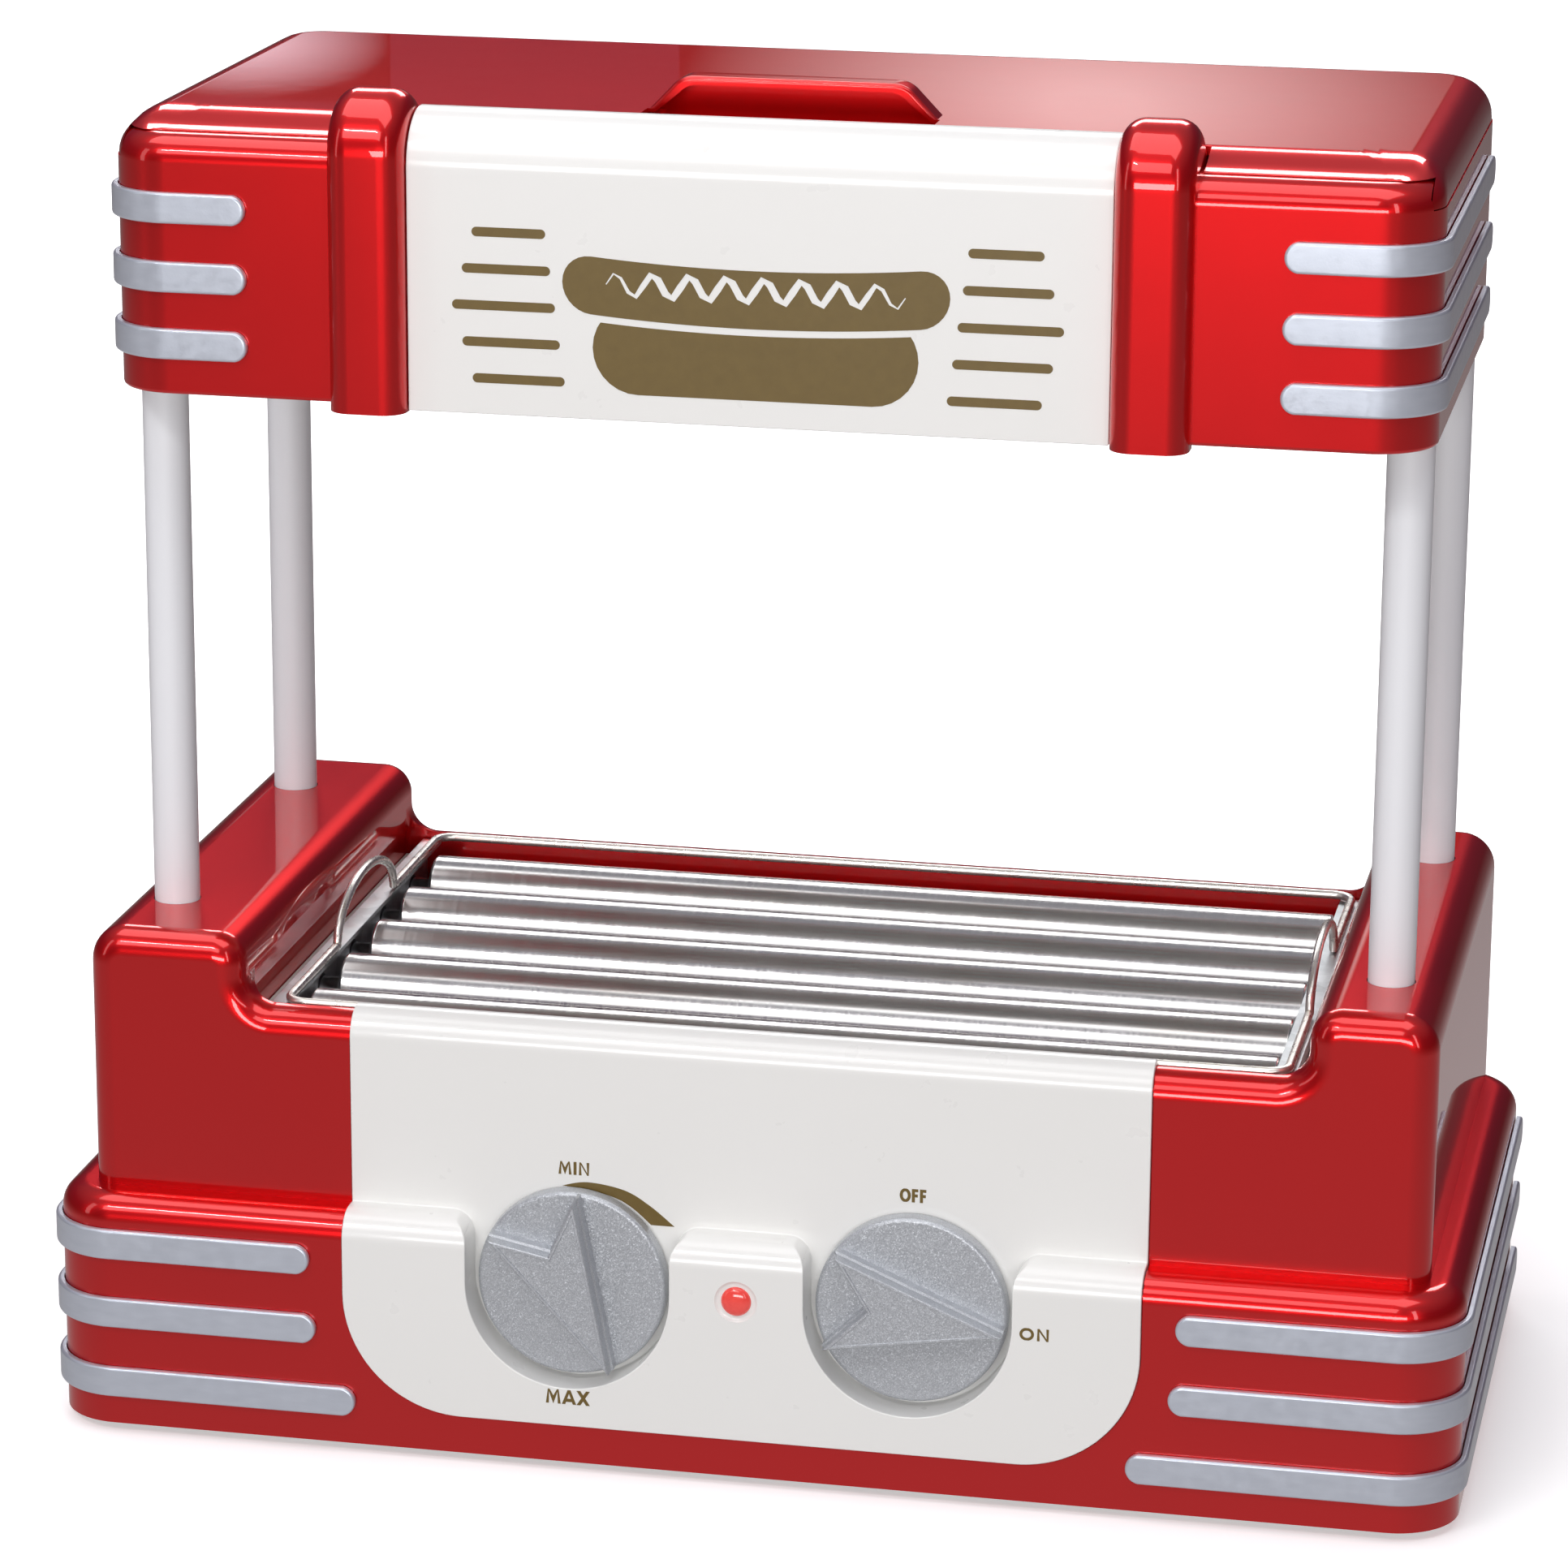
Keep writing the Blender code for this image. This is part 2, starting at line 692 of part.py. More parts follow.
def control_panel():
    panel = slab("control_panel", [panel_profile()], "side", -PANEL_X - 0.01, PANEL_X + 0.01)
    keep(panel, slab("panel_edge", [panel_outline(0)], "front", -0.2, 0))
    for side, x in (("left", -KNOB_X), ("right", KNOB_X)):
        cut(
            panel,
            slab(f"pocket_{side}", [pocket_outline(x, 0)], "front", -0.13, PANEL_UPPER_Y),
            cylinder(f"stem_hole_{side}", 1, (x, KNOB_Z), -0.1, -0.09, STEM_HOLE),
        )
    cut(
        panel,
        panel_hollow(),
        cylinder("pilot_dish", 1, (0, PILOT_Z), -0.12, PANEL_LOWER_Y + DISH_DEPTH, DISH_RADIUS, 20),
        cylinder("pilot_hole", 1, (0, PILOT_Z), -0.12, -0.10, PILOT_HOLE),
    )
    finish_part(panel, IVORY)


def dart(pointer):
    """Front view of a knob's raised pointer, turned clockwise from 12 o'clock."""
    angles = [(math.radians(90 - pointer - turn), radius) for turn, radius in DART]
    return [(radius * math.cos(a), radius * math.sin(a)) for a, radius in angles]


def knob(name, x, pointer):
    """A disc with a raised dart on its face and a stem behind it."""
    face, back = -KNOB_FACE_Y, -KNOB_BACK_Y
    profile = [
        (0, face), (KNOB_RADIUS - KNOB_EDGE, face), (KNOB_RADIUS, face - KNOB_EDGE), (KNOB_RADIUS, back),
        (STEM_RADIUS, back), (STEM_RADIUS, -STEM_END_Y), (0, -STEM_END_Y),
    ]
    outward = Matrix.Translation((x, 0, KNOB_Z)) @ Matrix.Rotation(math.radians(90), 4, "X")
    body = turned(name, profile, 40, outward)
    outline = [(x + u, KNOB_Z + v) for u, v in dart(pointer)]
    join(body, slab(f"{name}_dart", [outline], "front", GRIP_FACE_Y, KNOB_FACE_Y + 0.001))
    finish_part(body, SILVER)


def pilot_lens():
    front, back = -PILOT_FRONT_Y, -PILOT_BACK_Y
    shoulder = -PANEL_LOWER_Y - DISH_DEPTH + GAP
    profile = [
        (0, front), (0.45 * PILOT_RADIUS, front - 0.0002), (0.82 * PILOT_RADIUS, front - 0.0007),
        (PILOT_RADIUS, shoulder), (PILOT_STEM, shoulder), (PILOT_STEM, back), (0, back),
    ]
    outward = Matrix.Translation((0, 0, PILOT_Z)) @ Matrix.Rotation(math.radians(90), 4, "X")
    finish_part(turned("pilot_lens", profile, 20, outward), LENS)


def switch_body(name, x, size):
    """The box behind a knob that its stem turns in."""
    width, depth = size
    front = PANEL_UPPER_Y + PANEL_SHEET + GAP
    low = (x - width / 2, front, KNOB_Z - width / 2)
    high = (x + width / 2, front + depth, KNOB_Z + width / 2)
    body = box(name, low, high)
    cut(body, cylinder(f"{name}_bore", 1, (x, KNOB_Z), -0.1, STEM_END_Y + 0.001, STEM_RADIUS + GAP))
    finish_part(body, STEEL)


# Trim, posts and gland


def trim_path(half_x, front, corner, start_x, end_y):
    """Plan points with outward directions, from the front end round to the side end."""
    centre = (half_x - corner, front + corner)
    bend = arc(centre, 1.0, -90, 0, 6)
    path = [((start_x, front), (0, -1))]
    for u, v in bend:
        direction = (u - centre[0], v - centre[1])
        place = (centre[0] + corner * direction[0], centre[1] + corner * direction[1])
        path.append((place, direction))
    path.append(((half_x, end_y), (1, 0)))
    return path


def round_ended_path(path, radius):
    """Sections (place, direction, half width) along a path, narrowing at its two ends."""
    sections = []
    tapers = [math.radians(a) for a in (15, 40, 65, 90)]
    (start, facing), (last, last_facing) = path[0], path[-1]
    for a in tapers:
        inset = radius * (1 - math.cos(a))
        sections.append(((start[0] + inset, start[1]), facing, radius * math.sin(a)))
    sections += [(place, direction, radius) for place, direction in path[1:-1]]
    for a in reversed(tapers):
        inset = radius * (1 - math.cos(a))
        sections.append(((last[0], last[1] - inset), last_facing, radius * math.sin(a)))
    return sections


def trim_strip(name, path, z, width, mirror):
    """A thin strip with round ends, lofted along a plan path."""
    bm = bmesh.new()
    rings = []
    for (x, y), (out_x, out_y), half in round_ended_path(path, width / 2):
        corners = ((GAP, -half), (TRIM_PROUD, -half), (TRIM_PROUD, half), (GAP, half))
        ring = [bm.verts.new((mirror * (x + out_x * d), y + out_y * d, z + h)) for d, h in corners]
        rings.append(ring)
    for near, far in zip(rings, rings[1:]):
        for i in range(4):
            j = (i + 1) % 4
            bm.faces.new((near[i], near[j], far[j], far[i]))
    bm.faces.new(rings[0])
    bm.faces.new(rings[-1])
    finish_part(new_object(name, mesh_from(bm, name)), SATIN)


def trims():
    for side, mirror in (("left", -1), ("right", 1)):
        for level, (z, start_x) in BASE_TRIMS.items():
            path = trim_path(PLINTH_X, -PLINTH_Y, PLINTH_CORNER, start_x, BASE_TRIM_END_Y)
            trim_strip(f"base_trim_{side}_{level}", path, z, BASE_TRIM_WIDTH, mirror)
        for level, (z, start_x) in CANOPY_TRIMS.items():
            path = trim_path(CANOPY_X, CANOPY_FRONT, CANOPY_CORNER, start_x, CANOPY_TRIM_END_Y)
            trim_strip(f"canopy_trim_{side}_{level}", path, z, CANOPY_TRIM_WIDTH, mirror)


def posts():
    for end, y in POST_Y.items():
        for side, x in (("left", -POST_X), ("right", POST_X)):
            post = cylinder(f"post_{end}_{side}", 2, (x, y), POST_BOTTOM, POST_TOP, POST_RADIUS, 20)
            finish_part(post, WHITE)


def cord_gland():
    """Strain relief in the rear wall, bored through for a mains lead."""
    wall, end = PLINTH_Y + GAP, -GRIP_FACE_Y
    profile = [
        (GLAND_BORE, GLAND_INNER_Y), (GLAND_NECK, GLAND_INNER_Y), (GLAND_NECK, wall),
        (GLAND_FLANGE, wall), (GLAND_FLANGE, end - 0.001), (GLAND_FLANGE - 0.001, end), (GLAND_BORE, end),
    ]
    rearward = Matrix.Translation((GLAND_X, 0, GLAND_Z)) @ Matrix.Rotation(math.radians(-90), 4, "X")
    finish_part(turned("cord_gland", profile, 16, rearward), RUBBER)


# Canopy


def pillar(side, x):
    """A raised, round-topped rib beside the sign."""
    back = CANOPY_FRONT + CANOPY_WALL + 0.001
    centre = (PILLAR_FRONT + PILLAR_ROUND, PILLAR_TOP - PILLAR_ROUND)
    deck = CANOPY_TOP - 0.0015
    dome = arc(centre, PILLAR_ROUND, 180, PILLAR_BACK_ANGLE, 8)
    profile = [(PILLAR_FRONT, PILLAR_BOTTOM)] + dome + [(dome[-1][0], deck), (back, deck)]
    profile += [(back, PILLAR_BOTTOM)]
    half = PILLAR_WIDTH / 2
    rib = slab(f"pillar_{side}", [profile], "side", x - half, x + half)
    round_silhouette(rib, 0, PILLAR_EDGE, 3, lambda normal: normal.y < -0.1 or normal.z > 0.1)
    inside = box(
        f"pillar_hollow_{side}",
        (x - half + CANOPY_WALL, PILLAR_FRONT + CANOPY_WALL, PILLAR_BOTTOM - 0.01),
        (x + half - CANOPY_WALL, CANOPY_FRONT + 0.001, CANOPY_TOP - 0.005),
    )
    return rib, inside


def sign_profile(skin):
    """Side view of the sign's front and top, moved in by skin."""
    front, top, radius = SIGN_FRONT + skin, SIGN_TOP - skin, SIGN_ROUND - skin
    return [(front, SIGN_BOTTOM)] + arc((front + radius, top - radius), radius, 180, 90, 5)


def sign_seat():
    inner = sign_profile(PANEL_SHEET + GAP)
    inner[0] = (inner[0][0], SIGN_BOTTOM - 0.01)
    profile = inner + [(inner[-1][0], SIGN_TOP + 0.01), (-0.12, SIGN_TOP + 0.01), (-0.12, SIGN_BOTTOM - 0.01)]
    half = SIGN_X + GAP + 0.0001
    return slab("sign_seat", [profile], "side", -half, half)


def sign_panel():
    outer, inner = sign_profile(0), sign_profile(PANEL_SHEET)
    back = outer[-1][0] + PANEL_SHEET
    drop = CANOPY_TOP + GAP
    profile = outer + [(back, SIGN_TOP), (back, drop), (back - PANEL_SHEET, drop)] + inner[::-1]
    finish_part(slab("sign_panel", [profile], "side", -SIGN_X, SIGN_X), IVORY)


def hinge_lug(name, low_x, high_x):
    """An ear on the canopy's rear wall that holds the lid's hinge pin."""
    ear = cylinder(name, 0, (HINGE_Y, HINGE_Z), low_x, high_x, HINGE_KNUCKLE)
    root = box(
        f"{name}_root",
        (low_x, CANOPY_BACK - 0.001, HINGE_Z - 0.0022),
        (high_x, HINGE_Y - 0.0003, HINGE_Z + 0.0004),
    )
    return ear, root


def hinge_bore(name, x):
    """The hole for a hinge pin, through the lugs and the knuckle at x."""
    radius = HINGE_PIN + HINGE_PIN_GAP
    return cylinder(name, 0, (HINGE_Y, HINGE_Z), x - 0.02, x + 0.02, radius, 12)


def post_socket(name, x, y):
    """The space that a post's upper end fills."""
    return cylinder(name, 2, (x, y), CANOPY_BOTTOM - 0.01, POST_TOP + 0.0005, POST_RADIUS + GAP)


def canopy_body():
    body = rounded_block(
        "canopy_body",
        (-CANOPY_X, CANOPY_FRONT, CANOPY_BOTTOM),
        (CANOPY_X, CANOPY_BACK, CANOPY_TOP),
        CANOPY_CORNER,
        CANOPY_ROUND,
    )
    cavities = []
    for name, inset, top in (
        ("bun_cavity", CANOPY_WALL, REBATE_Z - CANOPY_WALL),
        ("bun_cavity_top", CANOPY_WALL + REBATE, CANOPY_TOP - WALL),
    ):
        cavities.append(rounded_block(
            name,
            (-CANOPY_X + inset, CANOPY_FRONT + CANOPY_WALL, CANOPY_BOTTOM - 0.01),
            (CANOPY_X - inset, CANOPY_BACK - inset, top),
            CANOPY_CORNER - inset,
        ))
    hatch = box("hatch", (-HATCH_X, HATCH_Y[0], 0.39), (HATCH_X, HATCH_Y[1], 0.42))
    rebate = box("rebate", (-0.25, LID_FRONT - GAP, REBATE_Z), (0.25, 0.15, 0.45))
    cut(rebate, rounded_block(
        "rebate_core",
        (-CANOPY_X + REBATE, -0.2, 0.3),
        (CANOPY_X - REBATE, CANOPY_BACK - REBATE, 0.5),
        CANOPY_CORNER - REBATE,
    ))
    cut(body, *cavities, hatch, rebate, sign_seat())
    for end, y in POST_Y.items():
        for side, x in (("left", -POST_X), ("right", POST_X)):
            cut(body, post_socket(f"canopy_socket_{end}_{side}", x, y))
    for side, sign in (("left", -1), ("right", 1)):
        rib, inside = pillar(side, sign * PILLAR_X)
        join(body, rib)
        cut(body, inside)
        middle = sign * HINGE_X
        for end, reach in (("inner", -sign), ("outer", sign)):
            xs = sorted(middle + reach * far for far in LUG_REACH)
            join(body, *hinge_lug(f"lug_{side}_{end}", *xs))
        cut(body, hinge_bore(f"lug_bore_{side}", middle))
    finish_part(body, RED)


def grip_outline(inset):
    """Front view of the lid's raised grip."""
    shoulder, bend = GRIP_SHOULDER_X - inset / 2, GRIP_SHOULDER - inset / 2
    right = [(GRIP_BASE_X - inset, GRIP_LOW)]
    right += arc((shoulder, GRIP_TOP - inset - bend), bend, 40, 90, 3)
    return right + [(-x, z) for x, z in reversed(right)]


def lid_front_space():
    """What lies ahead of and above the lid's front, where the roof slopes down to its edge."""
    reach, rise = LID_SLOPE_BACK - LID_FRONT, LID_TOP + 0.00002 - LID_EDGE_Z
    slope = [
        (LID_FRONT + reach * t / 8, LID_EDGE_Z + rise * (1 - math.cos(math.pi * t / 8)) / 2)
        for t in range(9)
    ]
    outside = [(LID_SLOPE_BACK, LID_TOP + 0.01), (-0.12, LID_TOP + 0.01), (-0.12, 0.38)]
    return slab("lid_front_space", [[(LID_FRONT, 0.38)] + slope + outside], "side", -0.25, 0.25)


def canopy_lid():
    """A skirted lid with a finger scoop, hinged behind the canopy's rear wall."""
    sheet, skirt, bottom = LID_SHEET, REBATE - GAP, REBATE_Z + GAP
    lid = rounded_block(
        "canopy_lid",
        (-CANOPY_X + GAP, CANOPY_FRONT + GAP, bottom),
        (CANOPY_X - GAP, CANOPY_BACK - GAP, LID_TOP),
        CANOPY_CORNER - GAP,
        LID_ROUND,
        4,
        4,
    )
    cut(
        lid,
        rounded_block(
            "lid_hollow",
            (-CANOPY_X + skirt, LID_HOLLOW_FRONT, 0.38),
            (CANOPY_X - skirt, CANOPY_BACK - skirt, LID_TOP - sheet),
            CANOPY_CORNER - skirt,
            LID_INNER_ROUND,
        ),
        box("lid_front_edge", (-CANOPY_X + skirt, -0.12, 0.38), (CANOPY_X - skirt, -0.05, CANOPY_TOP + GAP)),
        lid_front_space(),
        box("lid_notch", (-LID_NOTCH_X, -0.12, 0.38), (LID_NOTCH_X, LID_NOTCH_Y, 0.42)),
    )
    (scoop_front, scoop_back), wall = SCOOP_Y, SCOOP_SHEET
    join(
        lid,
        box(
            "scoop_pan",
            (-SCOOP_X - wall, scoop_front - 0.002, SCOOP_FLOOR - wall),
            (SCOOP_X + wall, scoop_back + wall, LID_TOP - 0.001),
        ),
        slab("grip_hood", [grip_outline(0)], "front", GRIP_FRONT_Y, GRIP_BACK_Y),
    )
    cut(
        lid,
        box("scoop_space", (-SCOOP_X, scoop_front, SCOOP_FLOOR), (SCOOP_X, scoop_back, GRIP_LOW + 0.0005)),
        box("scoop_mouth", (-SCOOP_X, scoop_front, GRIP_LOW - 0.0005), (SCOOP_X, GRIP_FRONT_Y, 0.42)),
        slab("grip_space", [grip_outline(wall)], "front", scoop_front, scoop_back),
    )
    for side, sign in (("left", -1), ("right", 1)):
        middle = sign * HINGE_X
        low, high = middle - KNUCKLE_HALF, middle + KNUCKLE_HALF
        knuckle = cylinder(f"knuckle_{side}", 0, (HINGE_Y, HINGE_Z), low, high, HINGE_KNUCKLE)
        tongue = box(f"tongue_{side}", (low, 0.0965, bottom), (high, HINGE_Y + 0.0015, bottom + 0.0032))
        join(lid, knuckle, tongue)
        cut(lid, hinge_bore(f"lid_bore_{side}", middle))
        pin_ends = middle - HINGE_PIN_HALF, middle + HINGE_PIN_HALF
        pin = cylinder(f"hinge_pin_{side}", 0, (HINGE_Y, HINGE_Z), *pin_ends, HINGE_PIN, 12)
        finish_part(pin, STEEL)
    finish_part(lid, RED, (0, HINGE_Y, HINGE_Z))


def canopy_floor():
    """The warming shelf for the buns, with vents and the posts' upper sockets."""
    low, high = (CANOPY_BOTTOM + height for height in FLOOR_HEIGHT)
    inset = CANOPY_WALL + GAP
    edge = rounded_rectangle(
        (-CANOPY_X + inset, CANOPY_FRONT + FLOOR_FRONT),
        (CANOPY_X - inset, CANOPY_BACK - inset),
        FLOOR_CORNER,
    )
    floor = slab("canopy_floor", [edge], "plan", low, high)
    half_x, half_y = VENT_HALF
    for row in range(VENT_ROWS):
        for column in range(VENT_COLUMNS):
            x = VENT_PITCH * (column - (VENT_COLUMNS - 1) / 2)
            y = ROLLER_MIDDLE_Y + VENT_PITCH * (row - (VENT_ROWS - 1) / 2)
            ends = (x - half_x, y - half_y, 0.3), (x + half_x, y + half_y, 0.35)
            cut(floor, box(f"vent_{row}_{column}", *ends))
    for end, y in POST_Y.items():
        for side, x in (("left", -POST_X), ("right", POST_X)):
            boss = cylinder(f"cap_{end}_{side}", 2, (x, y), low + 0.0001, CAP_TOP, CAP_RADIUS)
            limit = CANOPY_X - inset
            keep(boss, box(f"cap_limit_{end}_{side}", (-limit, -0.1, 0.3), (limit, 0.1, 0.4)))
            join(floor, boss)
            cut(floor, post_socket(f"cap_hole_{end}_{side}", x, y))
    finish_part(floor, STEEL)


# Roller bed and drive


def element_end_ys():
    ys = roller_ys()
    return ys[0] + ROLLER_PITCH / 2, ys[-1] - ROLLER_PITCH / 2


def rollers():
    """Hollow tubes on spindles; a bore in each spindle vents the tube."""
    inside = ROLLER_RADIUS - ROLLER_WALL
    right_end = BAY_RIGHT - 0.001
    profile = [
        (SPINDLE_BORE, SPINDLE_LEFT), (SPINDLE_RADIUS, SPINDLE_LEFT), (SPINDLE_RADIUS, ROLLER_LEFT),
        (inside, ROLLER_LEFT), (ROLLER_RADIUS, ROLLER_LEFT + 0.001),
        (ROLLER_RADIUS, ROLLER_RIGHT - 0.001), (inside, ROLLER_RIGHT),
        (SPINDLE_RADIUS, ROLLER_RIGHT), (SPINDLE_RADIUS, right_end), (SPINDLE_BORE, right_end),
        (SPINDLE_BORE, ROLLER_RIGHT - ROLLER_END), (inside, ROLLER_RIGHT - ROLLER_END),
        (inside, ROLLER_LEFT + ROLLER_END), (SPINDLE_BORE, ROLLER_LEFT + ROLLER_END),
    ]
    for i, y in enumerate(roller_ys(), 1):
        along = Matrix.Translation((0, y, ROLLER_Z)) @ Matrix.Rotation(math.radians(90), 4, "Y")
        finish_part(turned(f"roller_{i}", profile, 20, along), STEEL)


def gear_outline(place, teeth, phase):
    """Side view of a gear with thin straight-flanked teeth; phase is a tooth's angle."""
    pitch_radius = GEAR_MODULE * teeth / 2
    root, tip = pitch_radius - 1.15 * GEAR_MODULE, pitch_radius + 0.85 * GEAR_MODULE
    step = 2 * math.pi / teeth
    points = []
    for i in range(teeth):
        middle = phase + i * step
        for offset, radius in ((-0.30, root), (-0.11, tip), (0.11, tip), (0.30, root)):
            angle = middle + offset * step
            points.append((place[0] + radius * math.cos(angle), place[1] + radius * math.sin(angle)))
    return points


def meshed_phase(first, second, first_teeth, second_teeth, phase):
    """The second gear's phase that puts its teeth between those of the first."""
    towards = math.atan2(second[1] - first[1], second[0] - first[0])
    ahead = (towards - phase) % (2 * math.pi / first_teeth)
    return towards + math.pi + ahead * first_teeth / second_teeth - math.pi / second_teeth


def gear(name, place, teeth, phase, bore):
    outlines = [gear_outline(place, teeth, phase), circle(place, bore)]
    finish_part(slab(name, outlines, "side", GEAR_LEFT, GEAR_RIGHT), NYLON, (0, *place))


def gear_train():
    """Roller gears with an idler between each pair, and a pinion under one idler."""
    rollers_at = [(y, ROLLER_Z) for y in roller_ys()]
    phase = 0.0
    for i, place in enumerate(rollers_at, 1):
        gear(f"roller_gear_{i}", place, GEAR_TEETH, phase, SPINDLE_RADIUS + 0.0002)
        if i == ROLLER_COUNT:
            break
        idler = idler_places()[i - 1]
        idler_phase = meshed_phase(place, idler, GEAR_TEETH, GEAR_TEETH, phase)
        gear(f"idler_gear_{i}", idler, GEAR_TEETH, idler_phase, IDLER_PIN + GAP)
        if i == 2:
            pinion = pinion_place()
            pinion_phase = meshed_phase(idler, pinion, GEAR_TEETH, PINION_TEETH, idler_phase)
            gear("drive_pinion", pinion, PINION_TEETH, pinion_phase, PINION_BORE)
        phase = meshed_phase(idler, rollers_at[i], GEAR_TEETH, GEAR_TEETH, idler_phase)


def gear_motor():
    """A geared motor on the left tower's outer wall; its shaft carries the pinion."""
    y, z = pinion_place()
    back = -UPPER_X + WALL + GAP
    body = box(
        "gear_motor",
        (back, y - MOTOR_HALF_Y, z + MOTOR_Z[0]),
        (back + MOTOR_SHEET, y + MOTOR_HALF_Y, z + MOTOR_Z[1]),
    )
    can_axis = (y, z - MOTOR_CAN_DROP)
    can = cylinder("motor_can", 0, can_axis, back + 0.001, MOTOR_CAN_END, MOTOR_CAN_RADIUS, 24)
    shaft_ends = MOTOR_CAN_END - 0.001, GEAR_RIGHT + 0.002
    shaft = cylinder("motor_shaft", 0, (y, z), *shaft_ends, PINION_BORE - GAP, 12)
    join(body, can, shaft)
    finish_part(body, STEEL)


def side_plates():
    """Galvanised end plates and the nylon bearing strips behind them."""
    for side, wall, inward in (("left", BAY_LEFT, 1), ("right", BAY_RIGHT, -1)):
        strip_xs = (wall + inward * GAP, wall + inward * (GAP + BEARING_WIDTH))
        plate_outer = strip_xs[1] + inward * GAP
        plate_xs = (plate_outer, plate_outer + inward * PLATE_SHEET)
        flange_xs = (plate_outer, plate_outer + inward * FLANGE)
        strip = box(
            f"bearing_strip_{side}",
            (min(strip_xs), WIRE_Y[0] + 0.004, ROLLER_Z - 0.008),
            (max(strip_xs), WIRE_Y[1] - 0.004, ROLLER_Z + 0.008),
        )
        plate = box(
            f"end_plate_{side}",
            (min(plate_xs), WIRE_Y[0] - 0.0015, BAY_FLOOR + GAP),
            (max(plate_xs), WIRE_Y[1] + 0.0015, PLATE_TOP),
        )
        join(plate, box(
            f"flange_{side}",
            (min(flange_xs), WIRE_Y[0] - 0.0015, PLATE_TOP - PLATE_SHEET),
            (max(flange_xs), WIRE_Y[1] + 0.0015, PLATE_TOP),
        ))
        ends = sorted((wall - inward * 0.002, wall + inward * 0.02))
        for i, y in enumerate(roller_ys()):
            at = (y, ROLLER_Z)
            cut(strip, cylinder(f"bearing_{side}_{i}", 0, at, *ends, SPINDLE_RADIUS + 0.00015))
            cut(plate, cylinder(f"plate_hole_{side}_{i}", 0, at, *ends, SPINDLE_RADIUS + 0.001))
        if side == "right":
            for i, y in enumerate(element_end_ys()):
                hole = cylinder(f"plate_element_hole_{i}", 0, (y, ELEMENT_Z), *ends, ELEMENT_HOLE)
                cut(plate, hole)
        finish_part(strip, NYLON)
        finish_part(plate, GALVANISED)


def heating_element():
    """A serpentine tube under the rollers, fed through the right-hand wall."""
    start, end = element_end_ys()
    legs = [start + ROLLER_PITCH * i for i in range(ROLLER_COUNT - 1)]
    left, right = ROLLER_LEFT + ELEMENT_BEND_INSET, ROLLER_RIGHT - ELEMENT_BEND_INSET
    bend = ROLLER_PITCH / 2
    path = [(ELEMENT_END, start)]
    for i in range(3):
        middle = (legs[i] + legs[i + 1]) / 2
        if i % 2 == 0:
            path += [(u, v) for u, v in arc((left, middle), bend, 270, 90, 6)]
        else:
            path += [(u, v) for u, v in arc((right, middle), bend, -90, 90, 6)]
    path.append((ELEMENT_END, end))
    points = [(x, y, ELEMENT_Z) for x, y in path]
    finish_part(wire("heating_element", points, ELEMENT_RADIUS, resolution=2), ELEMENT)


def wire_guard():
    """A loose wire frame round the rollers with an arched handle at each end."""
    corner, arch = 0.006, WIRE_HANDLE_TOP - WIRE_Z - WIRE_RADIUS
    (left, right), (front, back) = WIRE_X, WIRE_Y
    middle = (front + back) / 2

    def end_bar(x, direction):
        arc_points = arc((middle, 0), 1.0, 180, 0, 10)
        bar = []
        for u, v in arc_points:
            y = middle + (u - middle) * WIRE_HANDLE_HALF
            bar.append((x, y, WIRE_Z + v * arch))
        return bar if direction > 0 else bar[::-1]

    def corner_points(x, y, start):
        return [(u, v, WIRE_Z) for u, v in arc((x, y), corner, start, start + 90, 3)]

    points = (
        corner_points(right - corner, front + corner, -90)
        + end_bar(right, 1)
        + corner_points(right - corner, back - corner, 0)
        + corner_points(left + corner, back - corner, 90)
        + end_bar(left, -1)
        + corner_points(left + corner, front + corner, 180)
    )
    finish_part(wire("wire_guard", points, WIRE_RADIUS, closed=True), STEEL)


def drip_tray():
    """A shallow tray under the element that pulls out through the rear wall."""
    low, high = (TRAY_X[0], TRAY_FRONT, BAY_FLOOR + GAP), (TRAY_X[1], UPPER_BACK + 0.0015, TRAY_TOP)
    tray = box("drip_tray", low, high)
    inside = box(
        "tray_inside",
        (low[0] + TRAY_SHEET, low[1] + TRAY_SHEET, low[2] + TRAY_SHEET),
        (high[0] - TRAY_SHEET, high[1] - TRAY_SHEET, high[2] + 0.01),
    )
    rear = UPPER_BACK + GAP
    face = box(
        "tray_face",
        (low[0] - TRAY_FACE_MARGIN, rear, TRAY_FACE_Z[0]),
        (high[0] + TRAY_FACE_MARGIN, rear + TRAY_FACE_SHEET, TRAY_FACE_Z[1]),
    )
    lip = box(
        "tray_lip",
        (TRAY_LIP_X[0], rear + 0.001, TRAY_LIP_Z[0]),
        (TRAY_LIP_X[1], rear + TRAY_LIP_REACH, TRAY_LIP_Z[1]),
    )
    cut(tray, inside)
    join(tray, face, lip)
    finish_part(tray, GALVANISED)


clear_scene()
PARTS = new_collection("hot_dog_roller_grill")
CUTTERS = new_collection("cutters")

